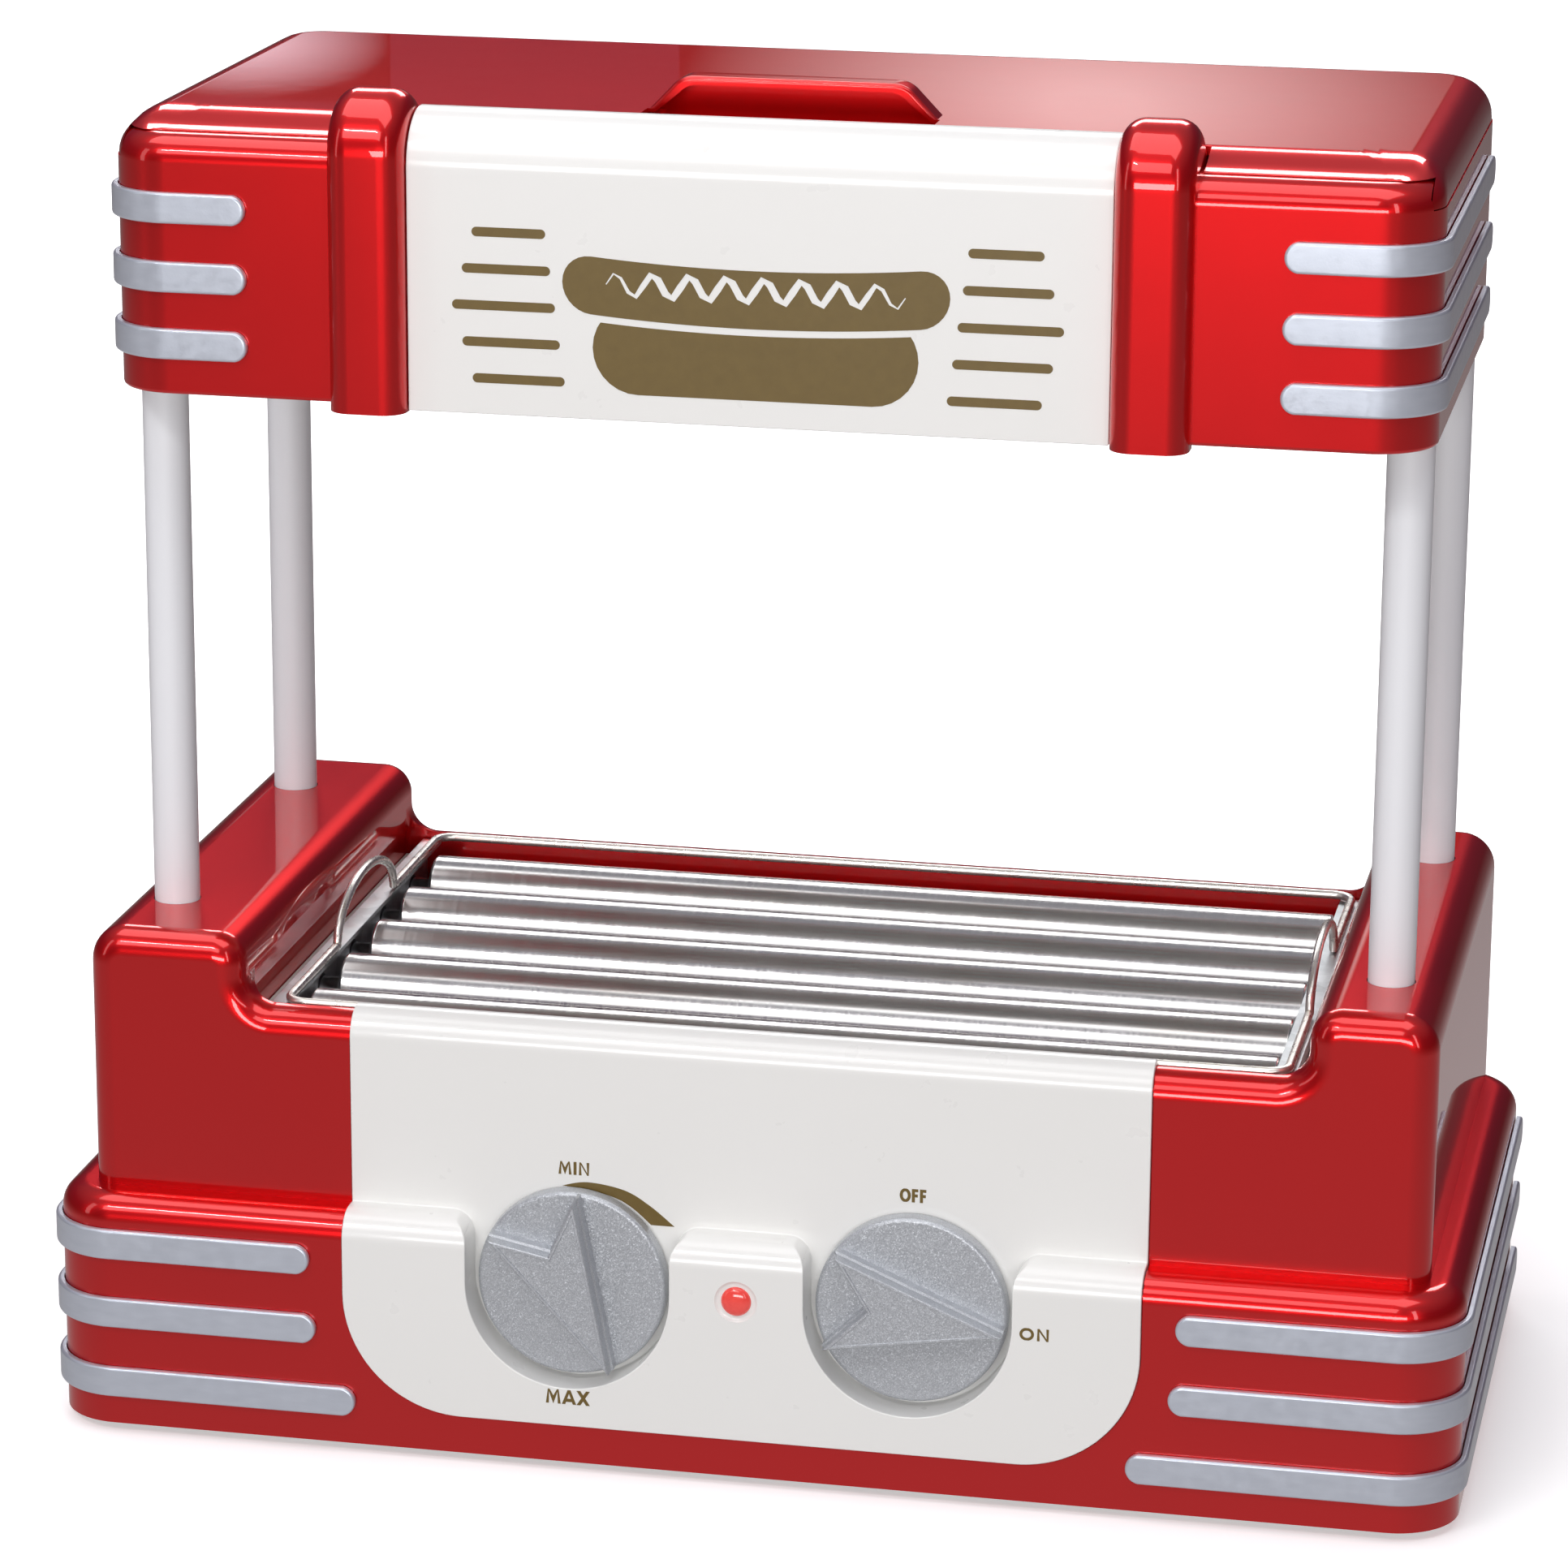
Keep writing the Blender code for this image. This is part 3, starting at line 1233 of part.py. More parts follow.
RED = new_material("candy_red", (0.45, 0.010, 0.018), 0.22, 0.6)
IVORY = new_material("ivory_plastic", (0.84, 0.83, 0.79), 0.28)
SILVER = new_material("knob_silver", (0.42, 0.43, 0.45), 0.42, 0.5)
SATIN = new_material("satin_silver", (0.58, 0.61, 0.67), 0.35, 0.7)
WHITE = new_material("white_plastic", (0.86, 0.88, 0.90), 0.35)
STEEL = new_material("stainless_steel", (0.56, 0.56, 0.55), 0.25, 1.0)
GALVANISED = new_material("galvanised_steel", (0.45, 0.46, 0.46), 0.45, 0.9)
ELEMENT = new_material("element_sheath", (0.10, 0.10, 0.10), 0.55, 0.6)
NYLON = new_material("nylon", (0.75, 0.74, 0.70), 0.5)
LENS = new_material("pilot_lens", (0.95, 0.12, 0.09), 0.2)
RUBBER = new_material("rubber", (0.02, 0.02, 0.02), 0.8)

base_housing()
base_plate()
feet()
control_panel()
knob("heat_knob", -KNOB_X, HEAT_POINTER)
knob("power_knob", KNOB_X, POWER_POINTER)
pilot_lens()
switch_body("thermostat", -KNOB_X, THERMOSTAT_SIZE)
switch_body("rotary_switch", KNOB_X, SWITCH_SIZE)
trims()
posts()
cord_gland()
canopy_body()
sign_panel()
canopy_lid()
canopy_floor()
rollers()
gear_train()
gear_motor()
side_plates()
heating_element()
wire_guard()
drip_tray()
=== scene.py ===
"""Looks for the hot dog roller grill: candy-red plastic, ivory panels, silver trim and steel rollers."""

import json
import math

import bmesh
import bpy
from mathutils import Matrix, Vector

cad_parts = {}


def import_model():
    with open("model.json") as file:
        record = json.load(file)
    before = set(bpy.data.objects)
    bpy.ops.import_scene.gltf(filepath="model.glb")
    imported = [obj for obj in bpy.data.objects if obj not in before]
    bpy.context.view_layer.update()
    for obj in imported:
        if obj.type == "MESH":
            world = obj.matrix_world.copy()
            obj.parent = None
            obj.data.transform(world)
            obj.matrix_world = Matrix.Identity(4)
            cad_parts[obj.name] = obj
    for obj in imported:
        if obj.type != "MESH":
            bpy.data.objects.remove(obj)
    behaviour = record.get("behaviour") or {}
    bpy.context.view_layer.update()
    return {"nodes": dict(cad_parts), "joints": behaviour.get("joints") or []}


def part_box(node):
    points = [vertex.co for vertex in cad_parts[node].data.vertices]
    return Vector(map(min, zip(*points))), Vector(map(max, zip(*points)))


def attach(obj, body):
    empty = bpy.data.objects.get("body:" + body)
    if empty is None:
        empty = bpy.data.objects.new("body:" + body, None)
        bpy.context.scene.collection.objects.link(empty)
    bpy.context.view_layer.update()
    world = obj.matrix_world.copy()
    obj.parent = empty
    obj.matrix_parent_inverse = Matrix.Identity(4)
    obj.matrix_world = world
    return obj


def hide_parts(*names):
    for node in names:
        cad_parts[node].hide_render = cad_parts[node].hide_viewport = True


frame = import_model()

# Places read from the frame, in metres.
HOUSE_LOW, HOUSE_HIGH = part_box("base_housing")
PANEL_LOW, PANEL_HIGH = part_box("control_panel")
CANOPY_LOW, CANOPY_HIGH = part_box("canopy_body")
LID_LOW, LID_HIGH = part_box("canopy_lid")
SIGN_LOW, SIGN_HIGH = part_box("sign_panel")
STRIP_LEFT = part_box("bearing_strip_left")
STRIP_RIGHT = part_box("bearing_strip_right")
TRAY_LOW, TRAY_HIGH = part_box("drip_tray")
JOINTS = {joint["name"]: joint for joint in frame["joints"]}


def middle(node):
    """The middle of a node's box."""
    low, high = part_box(node)
    return (low + high) / 2


GAP = 0.0003  # left between pieces that touch
WALL = 0.0026  # moulded wall thickness

# Housing
PLINTH_X = HOUSE_HIGH.x
PLINTH_FRONT, PLINTH_BACK = HOUSE_LOW.y, HOUSE_HIGH.y
PLINTH_TOP = HOUSE_LOW.z + 0.0735
PLINTH_CORNER = 0.020
PLINTH_ROUND = 0.008
UPPER_X = PLINTH_X - 0.011
UPPER_FRONT = PLINTH_FRONT + 0.0125
UPPER_BACK = PLINTH_BACK - 0.0022
UPPER_BOTTOM = PLINTH_TOP - 0.0125
TOWER_TOP = HOUSE_HIGH.z
TOWER_CORNER = 0.011
UPPER_ROUND = 0.008
INNER_ROUND = 0.0095
BAY_LEFT = STRIP_LEFT[0].x - GAP
BAY_RIGHT = STRIP_RIGHT[1].x + GAP
BAY_FRONT = UPPER_FRONT + 0.0085
BAY_BACK = UPPER_BACK - 0.0088
BAY_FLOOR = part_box("end_plate_left")[0].z - GAP
BAY_FILLET = 0.009
RIM_TOP = PANEL_HIGH.z - 0.002
POST_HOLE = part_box("post_front_left")[1].x - middle("post_front_left").x + GAP
SOCKET_FLOOR, BOSS_BOTTOM, BOSS_RADIUS = 0.1355, 0.131, 0.010
UPPER_SOCKET_TOP = 0.3465

# Roller bed
SPINDLE_RADIUS, SPINDLE_HOLE = 0.004, 0.0052
TUBE_LEFT, TUBE_RIGHT = -0.142, 0.156
HEATER_RADIUS, HEATER_HOLE = 0.00325, 0.0042
HEATER_LEFT, HEATER_RIGHT = -0.122, 0.136

# Control panel
PANEL_X = PANEL_HIGH.x
SHEET = 0.002
PANEL_CORNER = 0.037
PANEL_LEDGE = PLINTH_TOP + 0.001
PANEL_ROUND = 0.0085
PANEL_LOWER_Y = PANEL_LOW.y
PANEL_UPPER_Y = PANEL_LOW.y + 0.0125
POCKET_RADIUS = 0.0315
KNOB_RADIUS = 0.02915
KNOB_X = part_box("power_knob")[0].x + KNOB_RADIUS
KNOB_Z = JOINTS["power_knob_turn"]["pos_m"][2]
KNOB_FACE_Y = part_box("power_knob")[0].y + 0.008
KNOB_BACK_Y = KNOB_FACE_Y + 0.0053
GRIP_FACE_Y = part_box("power_knob")[0].y
HEAT_POINTER, POWER_POINTER = 153.0, 97.0
PILOT_Z = middle("pilot_lens").z
GLAND_RADIUS = 0.0070

# Canopy
CANOPY_X = CANOPY_HIGH.x
CANOPY_BOTTOM = CANOPY_LOW.z + 0.0015
CANOPY_FRONT = SIGN_LOW.y + 0.0008
CANOPY_BACK = LID_HIGH.y - 0.0069
CANOPY_TOP = SIGN_HIGH.z - 0.0095
CANOPY_CORNER = 0.019
CANOPY_WALL = 0.003
REBATE = 0.004
REBATE_Z = CANOPY_TOP - 0.008
LID_FRONT = LID_LOW.y
LID_TOP = CANOPY_TOP + 0.005
LID_SHEET = 0.0026
LID_ROUND, FRONT_ROUND = 0.012, 0.008
LID_EDGE_Z = LID_TOP - 0.0045  # top of the lid's thin front edge
LID_SLOPE_BACK = LID_FRONT + 0.0193  # the roof rises from its front edge to here
LID_NOTCH_X, LID_NOTCH_BACK = 0.1275, -0.062
LID_HOLLOW_FRONT = LID_FRONT + 0.0133
HATCH_X, HATCH_FRONT, HATCH_BACK = 0.160, -0.056, 0.080
SCOOP_X, SCOOP_FRONT, SCOOP_BACK, SCOOP_FLOOR = 0.044, -0.052, -0.0265, 0.399
GRIP_FRONT, GRIP_BACK = -0.036, -0.023
HINGE_Y, HINGE_Z = JOINTS["lid_hinge"]["pos_m"][1:]
HINGE_RADIUS, HINGE_BORE = 0.003, 0.0016
EARS = (("inner", 0.1070, 0.1117), ("outer", 0.1283, 0.1330))
KNUCKLE = (0.112, 0.128)
HINGE_REACH = (0.10, 0.14)
PILLAR_X = SIGN_HIGH.x + 0.0118
PILLAR_WIDTH = 0.023
PILLAR_FRONT = CANOPY_LOW.y
PILLAR_TOP = CANOPY_HIGH.z
PILLAR_ROUND = 0.0182
SIGN_ROUND = 0.016

SIDES = (("left", -1), ("right", 1))
VIEWS = {
    "plan": (Matrix.Identity(3), Vector((0, 0, 1))),
    "front": (Matrix(((1, 0, 0), (0, 0, -1), (0, 1, 0))), Vector((0, 1, 0))),
    "side": (Matrix(((0, 0, 1), (1, 0, 0), (0, 1, 0))), Vector((1, 0, 0))),
}


# Materials


def add_node(tree, kind, inputs, **settings):
    """A new node. Each socket in inputs is linked to an output, or set to a value."""
    node = tree.nodes.new("ShaderNode" + kind)
    for name, value in settings.items():
        setattr(node, name, value)
    for socket, value in inputs.items():
        if isinstance(value, bpy.types.NodeSocket):
            tree.links.new(value, node.inputs[socket])
        else:
            node.inputs[socket].default_value = value
    return node


class Shader:
    """A Principled material, with short calls for the nodes that feed it."""

    def __init__(self, name, colour, roughness, metallic=0.0, **sockets):
        self.material = bpy.data.materials.new(name)
        self.material.use_nodes = True
        self.tree = self.material.node_tree
        self.shader = self.tree.nodes["Principled BSDF"]
        self.set("Base Color", (*colour, 1))
        self.set("Roughness", roughness)
        self.set("Metallic", metallic)
        for socket, value in sockets.items():
            self.set(socket.replace("_", " ").title().replace("Ior", "IOR"), value)
        self.coordinates = self.add("TexCoord", "Object")

    def set(self, socket, value):
        self.shader.inputs[socket].default_value = value

    def feed(self, socket, output):
        self.tree.links.new(output, self.shader.inputs[socket])

    def add(self, kind, output, inputs=None, **settings):
        """The named output of a new node."""
        return add_node(self.tree, kind, inputs or {}, **settings).outputs[output]

    def noise(self, scale, detail, stretch=None):
        where = self.coordinates
        if stretch:
            where = self.add("Mapping", "Vector", {"Scale": stretch, "Vector": where})
        return self.add("TexNoise", "Fac", {"Scale": scale, "Detail": detail, "Vector": where})

    def cells(self, scale, output="Color"):
        return self.add("TexVoronoi", output, {"Scale": scale, "Vector": self.coordinates})

    def spread(self, value, low, high, start=0.3, end=0.7):
        """A value remapped from start..end to low..high."""
        ends = {"From Min": start, "From Max": end, "To Min": low, "To Max": high}
        return self.add("MapRange", "Result", {"Value": value, **ends})

    def blend(self, value, first, second):
        """A colour between two, by value."""
        inputs = {"Factor": value, "A": (*first, 1), "B": (*second, 1)}
        return self.add("Mix", "Result", inputs, data_type="RGBA")

    def bump(self, height, strength, distance):
        inputs = {"Strength": strength, "Distance": distance, "Height": height}
        return self.add("Bump", "Normal", inputs)

    def vector(self, operation, *inputs, output="Vector"):
        """A vector operation on its inputs, in order."""
        return self.add("VectorMath", output, dict(enumerate(inputs)), operation=operation)

    def flakes(self, scale, tilt):
        """A normal tipped a little in each flake's own direction."""
        centred = self.vector("SUBTRACT", self.cells(scale), (0.5, 0.5, 0.5))
        normal = self.add("NewGeometry", "Normal")
        tipped = self.vector("MULTIPLY_ADD", centred, (tilt, tilt, tilt), normal)
        return self.vector("NORMALIZE", tipped)

    def vary(self, tones=None, gloss=None, relief=None):
        """Feeds noise into the colour, roughness and surface, and returns the material.

        Each is (noise's arguments, low, high), or for relief (noise's arguments, strength, distance).
        """
        if tones:
            self.feed("Base Color", self.blend(self.noise(*tones[0]), *tones[1:]))
        if gloss:
            self.feed("Roughness", self.spread(self.noise(*gloss[0]), *gloss[1:]))
        if relief:
            self.feed("Normal", self.bump(self.noise(*relief[0]), *relief[1:]))
        return self.material


def candy_red():
    """Fine red metal flake, too small to see singly, under a clear coat with a little orange peel."""
    s = Shader("candy_red", (0.66, 0.008, 0.010), 0.3, 0.7, coat_weight=1.0, coat_roughness=0.015)
    s.set("Specular Tint", (1.0, 0.16, 0.10, 1))
    s.feed("Coat Normal", s.bump(s.noise(110, 2), 0.012, 0.0003))
    return s.vary(
        tones=((9, 3), (0.64, 0.007, 0.010), (0.68, 0.009, 0.011)),
        gloss=((60, 2), 0.277, 0.286),
    )


def ivory():
    s = Shader("ivory_plastic", (0.87, 0.865, 0.835), 0.3, coat_weight=0.5, coat_roughness=0.06)
    return s.vary(
        tones=((14, 3), (0.86, 0.857, 0.828), (0.88, 0.877, 0.852)),
        gloss=((90, 4), 0.27, 0.33),
        relief=((900, 2), 0.02, 0.0001),
    )


def knob_silver():
    """Silver paint with visible fine flake."""
    s = Shader("knob_silver", (0.60, 0.62, 0.64), 0.40, 0.5, coat_weight=0.3, coat_roughness=0.25)
    s.feed("Base Color", s.blend(s.spread(s.cells(3200, "Distance"), 0, 1, 0.1, 0.6),
                                 (0.66, 0.68, 0.71), (0.45, 0.47, 0.50)))
    s.feed("Normal", s.flakes(3200, 0.30))
    return s.material


def trim_silver():
    s = Shader("trim_silver", (0.60, 0.64, 0.71), 0.32, 0.5, coat_weight=0.35, coat_roughness=0.2)
    return s.vary(
        tones=((120, 4, (1, 1, 4)), (0.54, 0.58, 0.66), (0.64, 0.68, 0.76)),
        gloss=((300, 4), 0.28, 0.42),
        relief=((1500, 2), 0.08, 0.0002),
    )


def white_plastic():
    s = Shader("white_plastic", (0.85, 0.86, 0.89), 0.36, coat_weight=0.2, coat_roughness=0.2)
    return s.vary(
        tones=((30, 3, (1, 1, 0.2)), (0.84, 0.85, 0.88), (0.88, 0.89, 0.91)),
        relief=((500, 3, (1, 1, 0.1)), 0.05, 0.0002),
    )


def roller_steel():
    """Turned stainless tube: fine rings round it and faint heat staining."""
    s = Shader("roller_steel", (0.66, 0.65, 0.63), 0.2, 1.0)
    stain = s.spread(s.noise(14, 3), 0, 0.6, 0.5, 0.85)
    s.feed("Base Color", s.blend(stain, (0.68, 0.67, 0.66), (0.56, 0.51, 0.44)))
    return s.vary(
        gloss=((25, 3, (40, 1, 1)), 0.16, 0.24),
        relief=((45, 3, (60, 1, 1)), 0.05, 0.0001),
    )


def wire_steel():
    """Bright nickel plate with a faint mottle."""
    s = Shader("wire_steel", (0.88, 0.85, 0.79), 0.3, 0.9)
    return s.vary(
        tones=((60, 3), (0.90, 0.87, 0.82), (0.82, 0.78, 0.71)),
        gloss=((250, 3), 0.24, 0.34),
        relief=((900, 2), 0.03, 0.0001),
    )


def galvanised():
    """Zinc spangle in soft-edged grains."""
    s = Shader("galvanised_steel", (0.50, 0.52, 0.53), 0.42, 0.95)
    grain = s.cells(150)
    s.feed("Base Color", s.blend(s.spread(grain, 0, 1, 0, 1), (0.42, 0.44, 0.45), (0.62, 0.64, 0.65)))
    return s.vary(
        gloss=((180, 4), 0.30, 0.52),
        relief=((700, 3), 0.06, 0.0002),
    )


def plain_steel():
    s = Shader("sheet_steel", (0.58, 0.58, 0.57), 0.34, 1.0)
    return s.vary(
        tones=((40, 4), (0.52, 0.52, 0.51), (0.64, 0.64, 0.63)),
        gloss=((120, 4, (1, 12, 12)), 0.26, 0.44),
        relief=((200, 4, (1, 14, 14)), 0.06, 0.0002),
    )


def element_sheath():
    """Dark oxidised sheath with straw and blue heat tints."""
    s = Shader("element_sheath", (0.12, 0.11, 0.10), 0.5, 0.8)
    return s.vary(
        tones=((35, 4), (0.07, 0.065, 0.07), (0.20, 0.15, 0.10)),
        gloss=((300, 4), 0.38, 0.62),
        relief=((1200, 3), 0.15, 0.0002),
    )


def nylon():
    s = Shader("nylon", (0.74, 0.72, 0.66), 0.48, subsurface_weight=0.05)
    return s.vary(
        tones=((60, 4), (0.70, 0.68, 0.61), (0.78, 0.77, 0.72)),
        relief=((800, 3), 0.08, 0.0002),
    )


def rubber():
    s = Shader("rubber", (0.025, 0.025, 0.026), 0.72)
    return s.vary(
        tones=((200, 4), (0.018, 0.018, 0.019), (0.045, 0.044, 0.043)),
        relief=((2200, 3), 0.2, 0.0002),
    )


def lens_red():
    """Coral-red cap that glows faintly, with a fine mottle."""
    s = Shader("lens_red", (0.80, 0.05, 0.04), 0.14, coat_weight=0.6, coat_roughness=0.05)
    s.set("Emission Color", (1.0, 0.16, 0.12, 1))
    s.set("Emission Strength", 0.12)
    return s.vary(
        tones=((500, 2), (0.72, 0.03, 0.03), (0.90, 0.09, 0.07)),
    )


def ink():
    s = Shader("marking_ink", (0.15, 0.095, 0.018), 0.42)
    return s.vary(
        tones=((300, 4), (0.135, 0.085, 0.015), (0.17, 0.11, 0.022)),
        gloss=((900, 3), 0.36, 0.5),
    )


# Outlines


def arc(centre, radius, start, end, steps=12):
    """Points along a circle from start to end degrees, both ends included."""
    angles = [math.radians(start + (end - start) * i / steps) for i in range(steps + 1)]
    return [(centre[0] + radius * math.cos(a), centre[1] + radius * math.sin(a)) for a in angles]


def circle(centre, radius, steps=48):
    return arc(centre, radius, 0, 360 - 360 / steps, steps - 1)


# Meshes


def mesh_object(name, bm):
    bmesh.ops.recalc_face_normals(bm, faces=bm.faces)
    mesh = bpy.data.meshes.new(name)
    bm.to_mesh(mesh)
    bm.free()
    return bpy.data.objects.new(name, mesh)


def curve_to_mesh(name, curve, placing):
    guide = bpy.data.objects.new(name + "_curve", curve)
    bpy.context.scene.collection.objects.link(guide)
    bpy.context.view_layer.update()
    graph = bpy.context.evaluated_depsgraph_get()
    mesh = bpy.data.meshes.new_from_object(guide.evaluated_get(graph))
    mesh.transform(placing)
    bpy.data.objects.remove(guide)
    bm = bmesh.new()
    bm.from_mesh(mesh)
    bmesh.ops.remove_doubles(bm, verts=bm.verts, dist=1e-6)
    bmesh.ops.dissolve_limit(bm, angle_limit=math.radians(0.2), verts=bm.verts, edges=bm.edges)
    return mesh_object(name, bm)


def slab(name, outlines, view, low, high):
    """Flat outlines, inner ones as holes, extruded from low to high across the view."""
    curve = bpy.data.curves.new(name, "CURVE")
    curve.dimensions = "2D"
    curve.fill_mode = "BOTH"
    curve.extrude = (high - low) / 2
    for outline in outlines:
        spline = curve.splines.new("POLY")
        spline.points.add(len(outline) - 1)
        for point, (u, v) in zip(spline.points, outline):
            point.co = (u, v, 0, 1)
        spline.use_cyclic_u = True
    turn, axis = VIEWS[view]
    return curve_to_mesh(name, curve, Matrix.Translation(axis * (low + high) / 2) @ turn.to_4x4())


def wire(name, points, radius, closed=False, resolution=5):
    curve = bpy.data.curves.new(name, "CURVE")
    curve.dimensions = "3D"
    curve.bevel_depth = radius
    curve.bevel_resolution = resolution
    curve.use_fill_caps = True
    spline = curve.splines.new("POLY")
    spline.points.add(len(points) - 1)
    for point, place in zip(spline.points, points):
        point.co = (*place, 1)
    spline.use_cyclic_u = closed
    return curve_to_mesh(name, curve, Matrix.Identity(4))


def cylinder(name, axis, centre, low, high, radius, steps=48):
    view = ("side", "front", "plan")[axis]
    return slab(name, [circle(centre, radius, steps)], view, low, high)


def round_edges(bm, edges, width, steps):
    bmesh.ops.bevel(
        bm, geom=edges, offset=width, offset_type="OFFSET", segments=steps, profile=0.5,
        affect="EDGES", clamp_overlap=False,
    )


def cube(low, high):
    bm = bmesh.new()
    bmesh.ops.create_cube(bm, size=1.0)
    low, high = Vector(low), Vector(high)
    bmesh.ops.scale(bm, vec=high - low, verts=bm.verts)
    bmesh.ops.translate(bm, vec=(low + high) / 2, verts=bm.verts)
    return bm


def box(name, low, high, edge=0.0, steps=3):
    """A block, with all its edges rounded if edge is given."""
    bm = cube(low, high)
    if edge:
        round_edges(bm, bm.edges[:], edge, steps)
    return mesh_object(name, bm)


def rounded_block(name, low, high, corner, top_round=0.0, corner_steps=12, top_steps=8):
    """A block with round vertical corners and a round top edge."""
    bm = cube(low, high)
    upright = [e for e in bm.edges if abs(e.verts[0].co.z - e.verts[1].co.z) > 1e-6]
    round_edges(bm, upright, corner, corner_steps)
    if top_round:
        top = [e for e in bm.edges if all(v.co.z > high[2] - 1e-6 for v in e.verts)]
        round_edges(bm, top, top_round, top_steps)
    return mesh_object(name, bm)


def round_silhouette(obj, axis, width, steps, wanted):
    """Rounds the edges where a slab's flat ends meet its sides, if wanted(side, end)."""
    bm = bmesh.new()
    bm.from_mesh(obj.data)
    bm.normal_update()
    chosen = []
    for edge in bm.edges:
        ends = [f for f in edge.link_faces if abs(f.normal[axis]) > 0.99]
        sides = [f for f in edge.link_faces if abs(f.normal[axis]) < 0.01]
        if ends and sides and wanted(sides[0].normal, ends[0].normal):
            chosen.append(edge)
    round_edges(bm, chosen, width, steps)
    bm.normal_update()
    bm.to_mesh(obj.data)
    bm.free()
    return obj


def turned(name, profile, steps, placing):
    """A profile of (radius, height) points turned about the height axis, then placed."""
    bm = bmesh.new()
    closed = profile[0][0] > 1e-9
    verts = [bm.verts.new((r, 0, h)) for r, h in profile]
    pairs = list(zip(verts, verts[1:])) + ([(verts[-1], verts[0])] if closed else [])
    edges = [bm.edges.new(pair) for pair in pairs]
    bmesh.ops.spin(
        bm, geom=verts + edges, cent=(0, 0, 0), axis=(0, 0, 1), steps=steps, angle=math.tau,
        use_merge=True,
    )
    bmesh.ops.remove_doubles(bm, verts=bm.verts, dist=1e-6)
    bmesh.ops.transform(bm, matrix=placing, verts=bm.verts)
    return mesh_object(name, bm)


def combine(target, others, operation):
    for other in others:
        modifier = target.modifiers.new(other.name, "BOOLEAN")
        modifier.operation = operation
        modifier.solver = "MANIFOLD"
        modifier.object = other
        bpy.context.scene.collection.objects.link(other)
        settle(target)
        bpy.data.objects.remove(other)


def cut(target, *others):
    combine(target, others, "DIFFERENCE")


def join(target, *others):
    combine(target, others, "UNION")


def keep(target, *others):
    combine(target, others, "INTERSECT")


def settle(obj):
    """Applies the modifiers made so far, and merges the flat faces that they split."""
    linked = obj.name in bpy.context.scene.collection.objects
    if not linked:
        bpy.context.scene.collection.objects.link(obj)
    bpy.context.view_layer.update()
    graph = bpy.context.evaluated_depsgraph_get()
    mesh = bpy.data.meshes.new_from_object(obj.evaluated_get(graph))
    if not linked:
        bpy.context.scene.collection.objects.unlink(obj)
    obj.modifiers.clear()
    bm = bmesh.new()
    bm.from_mesh(mesh)
    bmesh.ops.remove_doubles(bm, verts=bm.verts, dist=2e-6)
    bmesh.ops.dissolve_limit(bm, angle_limit=math.radians(0.2), verts=bm.verts, edges=bm.edges)
    bmesh.ops.dissolve_degenerate(bm, dist=2e-6, edges=bm.edges)
    bm.to_mesh(obj.data)
    bm.free()
    return obj


def soften(obj, width):
    """Rounds every edge that turns by more than 35 degrees."""
    settle(obj)
    bevel = obj.modifiers.new("soft_edges", "BEVEL")
    bevel.width = width
    bevel.segments = 3
    bevel.limit_method = "ANGLE"
    bevel.angle_limit = math.radians(35)
    bevel.use_clamp_overlap = False
    bevel.miter_outer = "MITER_SHARP"
    return settle(obj)


def finish_piece(obj, material, body, slot, *nodes):
    """Applies, shades and links a piece, and files it on its body; slot is not used."""
    if obj.modifiers:
        settle(obj)
    obj.data.materials.clear()
    obj.data.materials.append(material)
    obj.data.shade_smooth()
    obj.data.set_sharp_from_angle(angle=math.radians(32))
    weighted = obj.modifiers.new("flat_faces_stay_flat", "WEIGHTED_NORMAL")
    weighted.keep_sharp = True
    weighted.weight = 100
    bpy.context.scene.collection.objects.link(obj)
    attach(obj, body)
    if nodes:
        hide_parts(*nodes)
    return obj


# Housing


def upper_outline():
    """Front view of the upper body: two round-shouldered towers and the low rim."""
    top, corner, fillet, inner = TOWER_TOP, TOWER_CORNER, BAY_FILLET, INNER_ROUND
    return (
        [(-UPPER_X, UPPER_BOTTOM), (UPPER_X, UPPER_BOTTOM)]
        + arc((UPPER_X - corner, top - corner), corner, 0, 90, 10)
        + arc((BAY_RIGHT + inner, top - inner), inner, 90, 180, 10)
        + arc((BAY_RIGHT - fillet, RIM_TOP + fillet), fillet, 0, -90, 10)
        + arc((BAY_LEFT + fillet, RIM_TOP + fillet), fillet, -90, -180, 10)
        + arc((BAY_LEFT - inner, top - inner), inner, 0, 90, 10)
        + arc((-UPPER_X + corner, top - corner), corner, 90, 180, 10)
    )


def panel_outline(grow):
    """Front view of the control panel's edge: square above, a deep U below."""
    half, corner = PANEL_X + grow, PANEL_CORNER + grow
    bottom, top = PANEL_LOW.z - grow, PLINTH_TOP + 0.1
    return (
        [(half, top), (-half, top)]
        + arc((-half + corner, bottom + corner), corner, 180, 270, 24)
        + arc((half - corner, bottom + corner), corner, 270, 360, 24)
    )


